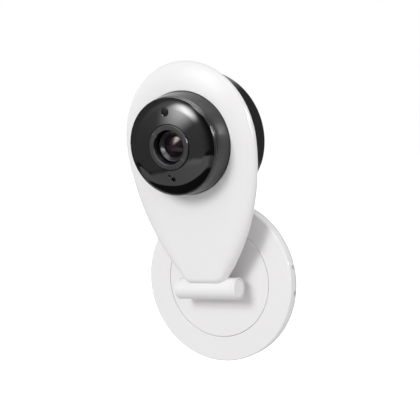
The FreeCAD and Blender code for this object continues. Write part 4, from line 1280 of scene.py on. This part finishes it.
WINDOW_GLOW = 14.0                           # small lamp high on the right
SWEEP_GLOW = 0.7                             # white paper behind
AMBIENT = 0.575


def facing(tree, direction, toward):
    """How far a direction faces a chosen one, as the cosine between them."""
    made = add(tree, "ShaderNodeVectorMath", operation="DOT_PRODUCT")
    feed(tree, made.inputs[0], direction)
    feed(tree, made.inputs[1], toward.normalized())
    return made.outputs["Value"]


def heading(azimuth, elevation):
    """Unit vector from the object; azimuth 0 is straight in front and 90 is +X."""
    a = math.radians(azimuth)
    e = math.radians(elevation)
    return Vector((math.sin(a) * math.cos(e), -math.cos(a) * math.cos(e), math.sin(e)))


def combine_values(tree, operation, a, b):
    made = add(tree, "ShaderNodeMath", operation=operation)
    for socket, value in zip(made.inputs, (a, b)):
        feed(tree, socket, value)
    return made.outputs[0]


def chain(tree, operation, *values):
    total = values[0]
    for value in values[1:]:
        total = combine_values(tree, operation, total, value)
    return total


def by_azimuth(tree, azimuth, points):
    """Value that follows a row of (azimuth, value) points round the studio."""
    ramp = add(tree, "ShaderNodeValToRGB", Fac=remap(tree, azimuth, 0.0, 1.0, -180.0, 180.0))
    stops = ramp.color_ramp.elements
    stops.remove(stops[1])
    for i, (turn, value) in enumerate(points):
        place = turn / 360.0 + 0.5
        if i == 0:
            stops[0].position = place
        else:
            stops.new(place)
        stops[i].color = (value, value, value, 1)
    return ramp.outputs["Color"]


def between(tree, value, start, full, fading, end):
    """Rises from 0 to 1 from start to full, and falls again from fading to end."""
    return chain(tree, "MULTIPLY", soften(tree, value, 0.0, 1.0, start, full),
                 soften(tree, value, 1.0, 0.0, fading, end))


def glossy_studio(tree, direction):
    """Brightness that polished surfaces mirror: grey room, pale table, soft lamp, white sweep behind."""
    along_x = facing(tree, direction, Vector((1, 0, 0)))
    forward = facing(tree, direction, Vector((0, -1, 0)))
    upward = facing(tree, direction, Vector((0, 0, 1)))
    degree = 180.0 / math.pi
    azimuth = chain(tree, "MULTIPLY", chain(tree, "ARCTAN2", along_x, forward), degree)
    height = chain(tree, "MULTIPLY", chain(tree, "ARCSINE", upward, 0.0), degree)

    over_gap = chain(tree, "ADD", height, by_azimuth(tree, azimuth, ROOM_LOW))
    room = chain(tree, "MULTIPLY", by_azimuth(tree, azimuth, ROOM),
                 soften(tree, over_gap, 0.0, 1.0, -1.0, 1.0))
    above_low = chain(tree, "ADD", height, by_azimuth(tree, azimuth, TABLE_LOW))
    over_top = chain(tree, "ADD", height, by_azimuth(tree, azimuth, TABLE_TOP))
    below_top = chain(tree, "SUBTRACT", 0.0, over_top)
    table = chain(tree, "MULTIPLY", by_azimuth(tree, azimuth, TABLE),
                  soften(tree, above_low, 0.0, 1.0, -2.0, 2.0),
                  soften(tree, below_top, 0.0, 1.0, -0.8, 0.8))

    sweep = remap(tree, forward, SWEEP_GLOW, 0.0, -0.5, -0.3)
    gap = remap(tree, facing(tree, direction, heading(163.0, 8.0)), 1.0, 0.04, 0.83, 0.90)
    behind = chain(tree, "MULTIPLY", sweep, gap)
    strip = chain(tree, "MULTIPLY", between(tree, azimuth, 60.0, 66.0, 83.0, 91.0),
                  between(tree, height, 3.0, 9.0, 17.0, 24.0), STRIP_GLOW)

    lamp_mid = chain(tree, "ADD", chain(tree, "MULTIPLY", height, LAMP_LEAN), LAMP_AZIMUTH)
    beside = chain(tree, "SUBTRACT", azimuth, lamp_mid)
    slope = chain(tree, "SUBTRACT", height, chain(tree, "MULTIPLY", azimuth, LAMP_SLOPE), LAMP_LOW)
    lamp = chain(tree, "MULTIPLY", between(tree, beside, -20.0, 2.0, 0.0, 31.0),
                 soften(tree, slope, 0.0, 1.0, -6.0, 8.0),
                 soften(tree, height, 1.0, 0.0, 22.0, 52.0), LAMP_GLOW)
    window = soften(tree, facing(tree, direction, heading(48.0, 56.0)), 0.0, WINDOW_GLOW, 0.93, 0.985)
    halo = chain(tree, "MULTIPLY", between(tree, beside, -50.0, -15.0, 0.0, 40.0),
                 between(tree, height, -12.0, 30.0, 36.0, 60.0), HALO_GLOW)
    return chain(tree, "ADD", room, table, behind, strip, window, lamp, halo, SHADE)


def mix_shader(tree, factor, first, second):
    made = add(tree, "ShaderNodeMixShader", Fac=factor)
    feed(tree, made.inputs[1], first)
    feed(tree, made.inputs[2], second)
    return made.outputs[0]


def studio_world():
    """Plain white studio, with soft light all round and its own picture for reflections."""
    world = bpy.data.worlds.new("studio")
    bpy.context.scene.world = world
    world.use_nodes = True
    tree = world.node_tree
    tree.nodes.clear()
    direction = add(tree, "ShaderNodeTexCoord").outputs["Generated"]
    rays = add(tree, "ShaderNodeLightPath").outputs
    glossy = add(tree, "ShaderNodeBackground", Strength=glossy_studio(tree, direction), Color=(1, 1, 1, 1))
    ambient = add(tree, "ShaderNodeBackground", Strength=AMBIENT, Color=(1, 0.994, 1, 1))
    plain = add(tree, "ShaderNodeBackground", Strength=1.0, Color=(1, 1, 1, 1))
    lit = mix_shader(tree, rays["Is Glossy Ray"], ambient.outputs[0], glossy.outputs[0])
    seen = mix_shader(tree, rays["Is Camera Ray"], lit, plain.outputs[0])
    add(tree, "ShaderNodeOutputWorld", Surface=seen)


def floor():
    """Pale floor below the object, which hangs by its base and never touches it."""
    half = 6.0                               # metres
    z = cad_box[0].z - 0.075
    verts = [(-half, -half, z), (half, -half, z), (half, half, z), (-half, half, z)]
    mesh = bpy.data.meshes.new("floor")
    mesh.from_pydata(verts, [], [(0, 1, 2, 3)])
    obj = new_object("floor", mesh)
    material, tree, node = shader("floor_white")
    gloss = remap(tree, object_noise(tree, 90.0, 3.0), 0.55, 0.65)
    feed_all(tree, node, Roughness=gloss, Base_Color=(0.9, 0.9, 0.9, 1), Specular_IOR_Level=0.1,
             Emission_Color=(1, 1, 1, 1), Emission_Strength=0.8)
    mesh.materials.append(material)
    obj.visible_diffuse = False
    obj.visible_glossy = False
    obj.visible_shadow = False


def soft_light(name, azimuth, elevation, width, height, power):
    """Rectangular soft light a metre from the object, aimed at its middle and not mirrored in it."""
    distance = 1.0
    target = Vector((0, BASE_FRONT - 15, LENS_Z * 0.7)) * MM
    data = bpy.data.lights.new(name, "AREA")
    data.shape = "RECTANGLE"
    data.size = width
    data.size_y = height
    data.energy = power
    obj = new_object(name, data)
    away = heading(azimuth, elevation)
    obj.location = target + away * distance
    obj.rotation_mode = "QUATERNION"
    obj.rotation_quaternion = away.to_track_quat("Z", "Y")
    obj.visible_camera = False
    obj.visible_glossy = False


def lights():
    soft_light("key", -8, 23, width=0.30, height=0.36, power=5.45)
    soft_light("side", 84, 8, width=0.3, height=0.5, power=2.3)
    soft_light("back", 165, 12, width=0.5, height=0.5, power=4.0)
    soft_light("back_left", -110, 20, width=0.4, height=0.5, power=2.0)


def camera():
    """Camera right of the front and a little above the horizon."""
    azimuth = math.radians(30.279)
    elevation = math.radians(3.7187)
    roll = math.radians(-4.0844)
    distance = 500.0
    right_by = -3.8852
    up_by = 34.5874
    focal_share = 2.44735                    # focal length over the sensor's width
    back = Vector((math.sin(azimuth) * math.cos(elevation), -math.cos(azimuth) * math.cos(elevation),
                   math.sin(elevation)))
    right = Vector((math.cos(azimuth), math.sin(azimuth), 0))
    up = back.cross(right)
    rolled_right = right * math.cos(roll) + up * math.sin(roll)
    rolled_up = up * math.cos(roll) - right * math.sin(roll)
    data = bpy.data.cameras.new("camera")
    data.sensor_width = 36.0
    data.lens = data.sensor_width * focal_share
    data.clip_start = 0.01
    obj = new_object("camera", data)
    place = back * distance + rolled_right * right_by + rolled_up * up_by + Vector((0, BASE_FRONT, 0))
    turn = Matrix((rolled_right, rolled_up, back)).transposed().to_4x4()
    obj.matrix_world = Matrix.Translation(place * MM) @ turn
    bpy.context.scene.camera = obj


# ---- build ------------------------------------------------------------------------------
base_cover()
bottom_plate()
rubber_pad()
turntable_disc()
hinge_bracket()
hinge_barrel()
barrel_caps()
front_shell()
neck_cover()
rear_cover()
reset_button()
power_inlet()
front_collar()
front_cover()
sensor_window()
lens_ring()
lens_barrel()
lens_glass()
paint_cad_nodes()
studio_world()
floor()
lights()
camera()
bpy.context.scene.view_settings.view_transform = "Standard"
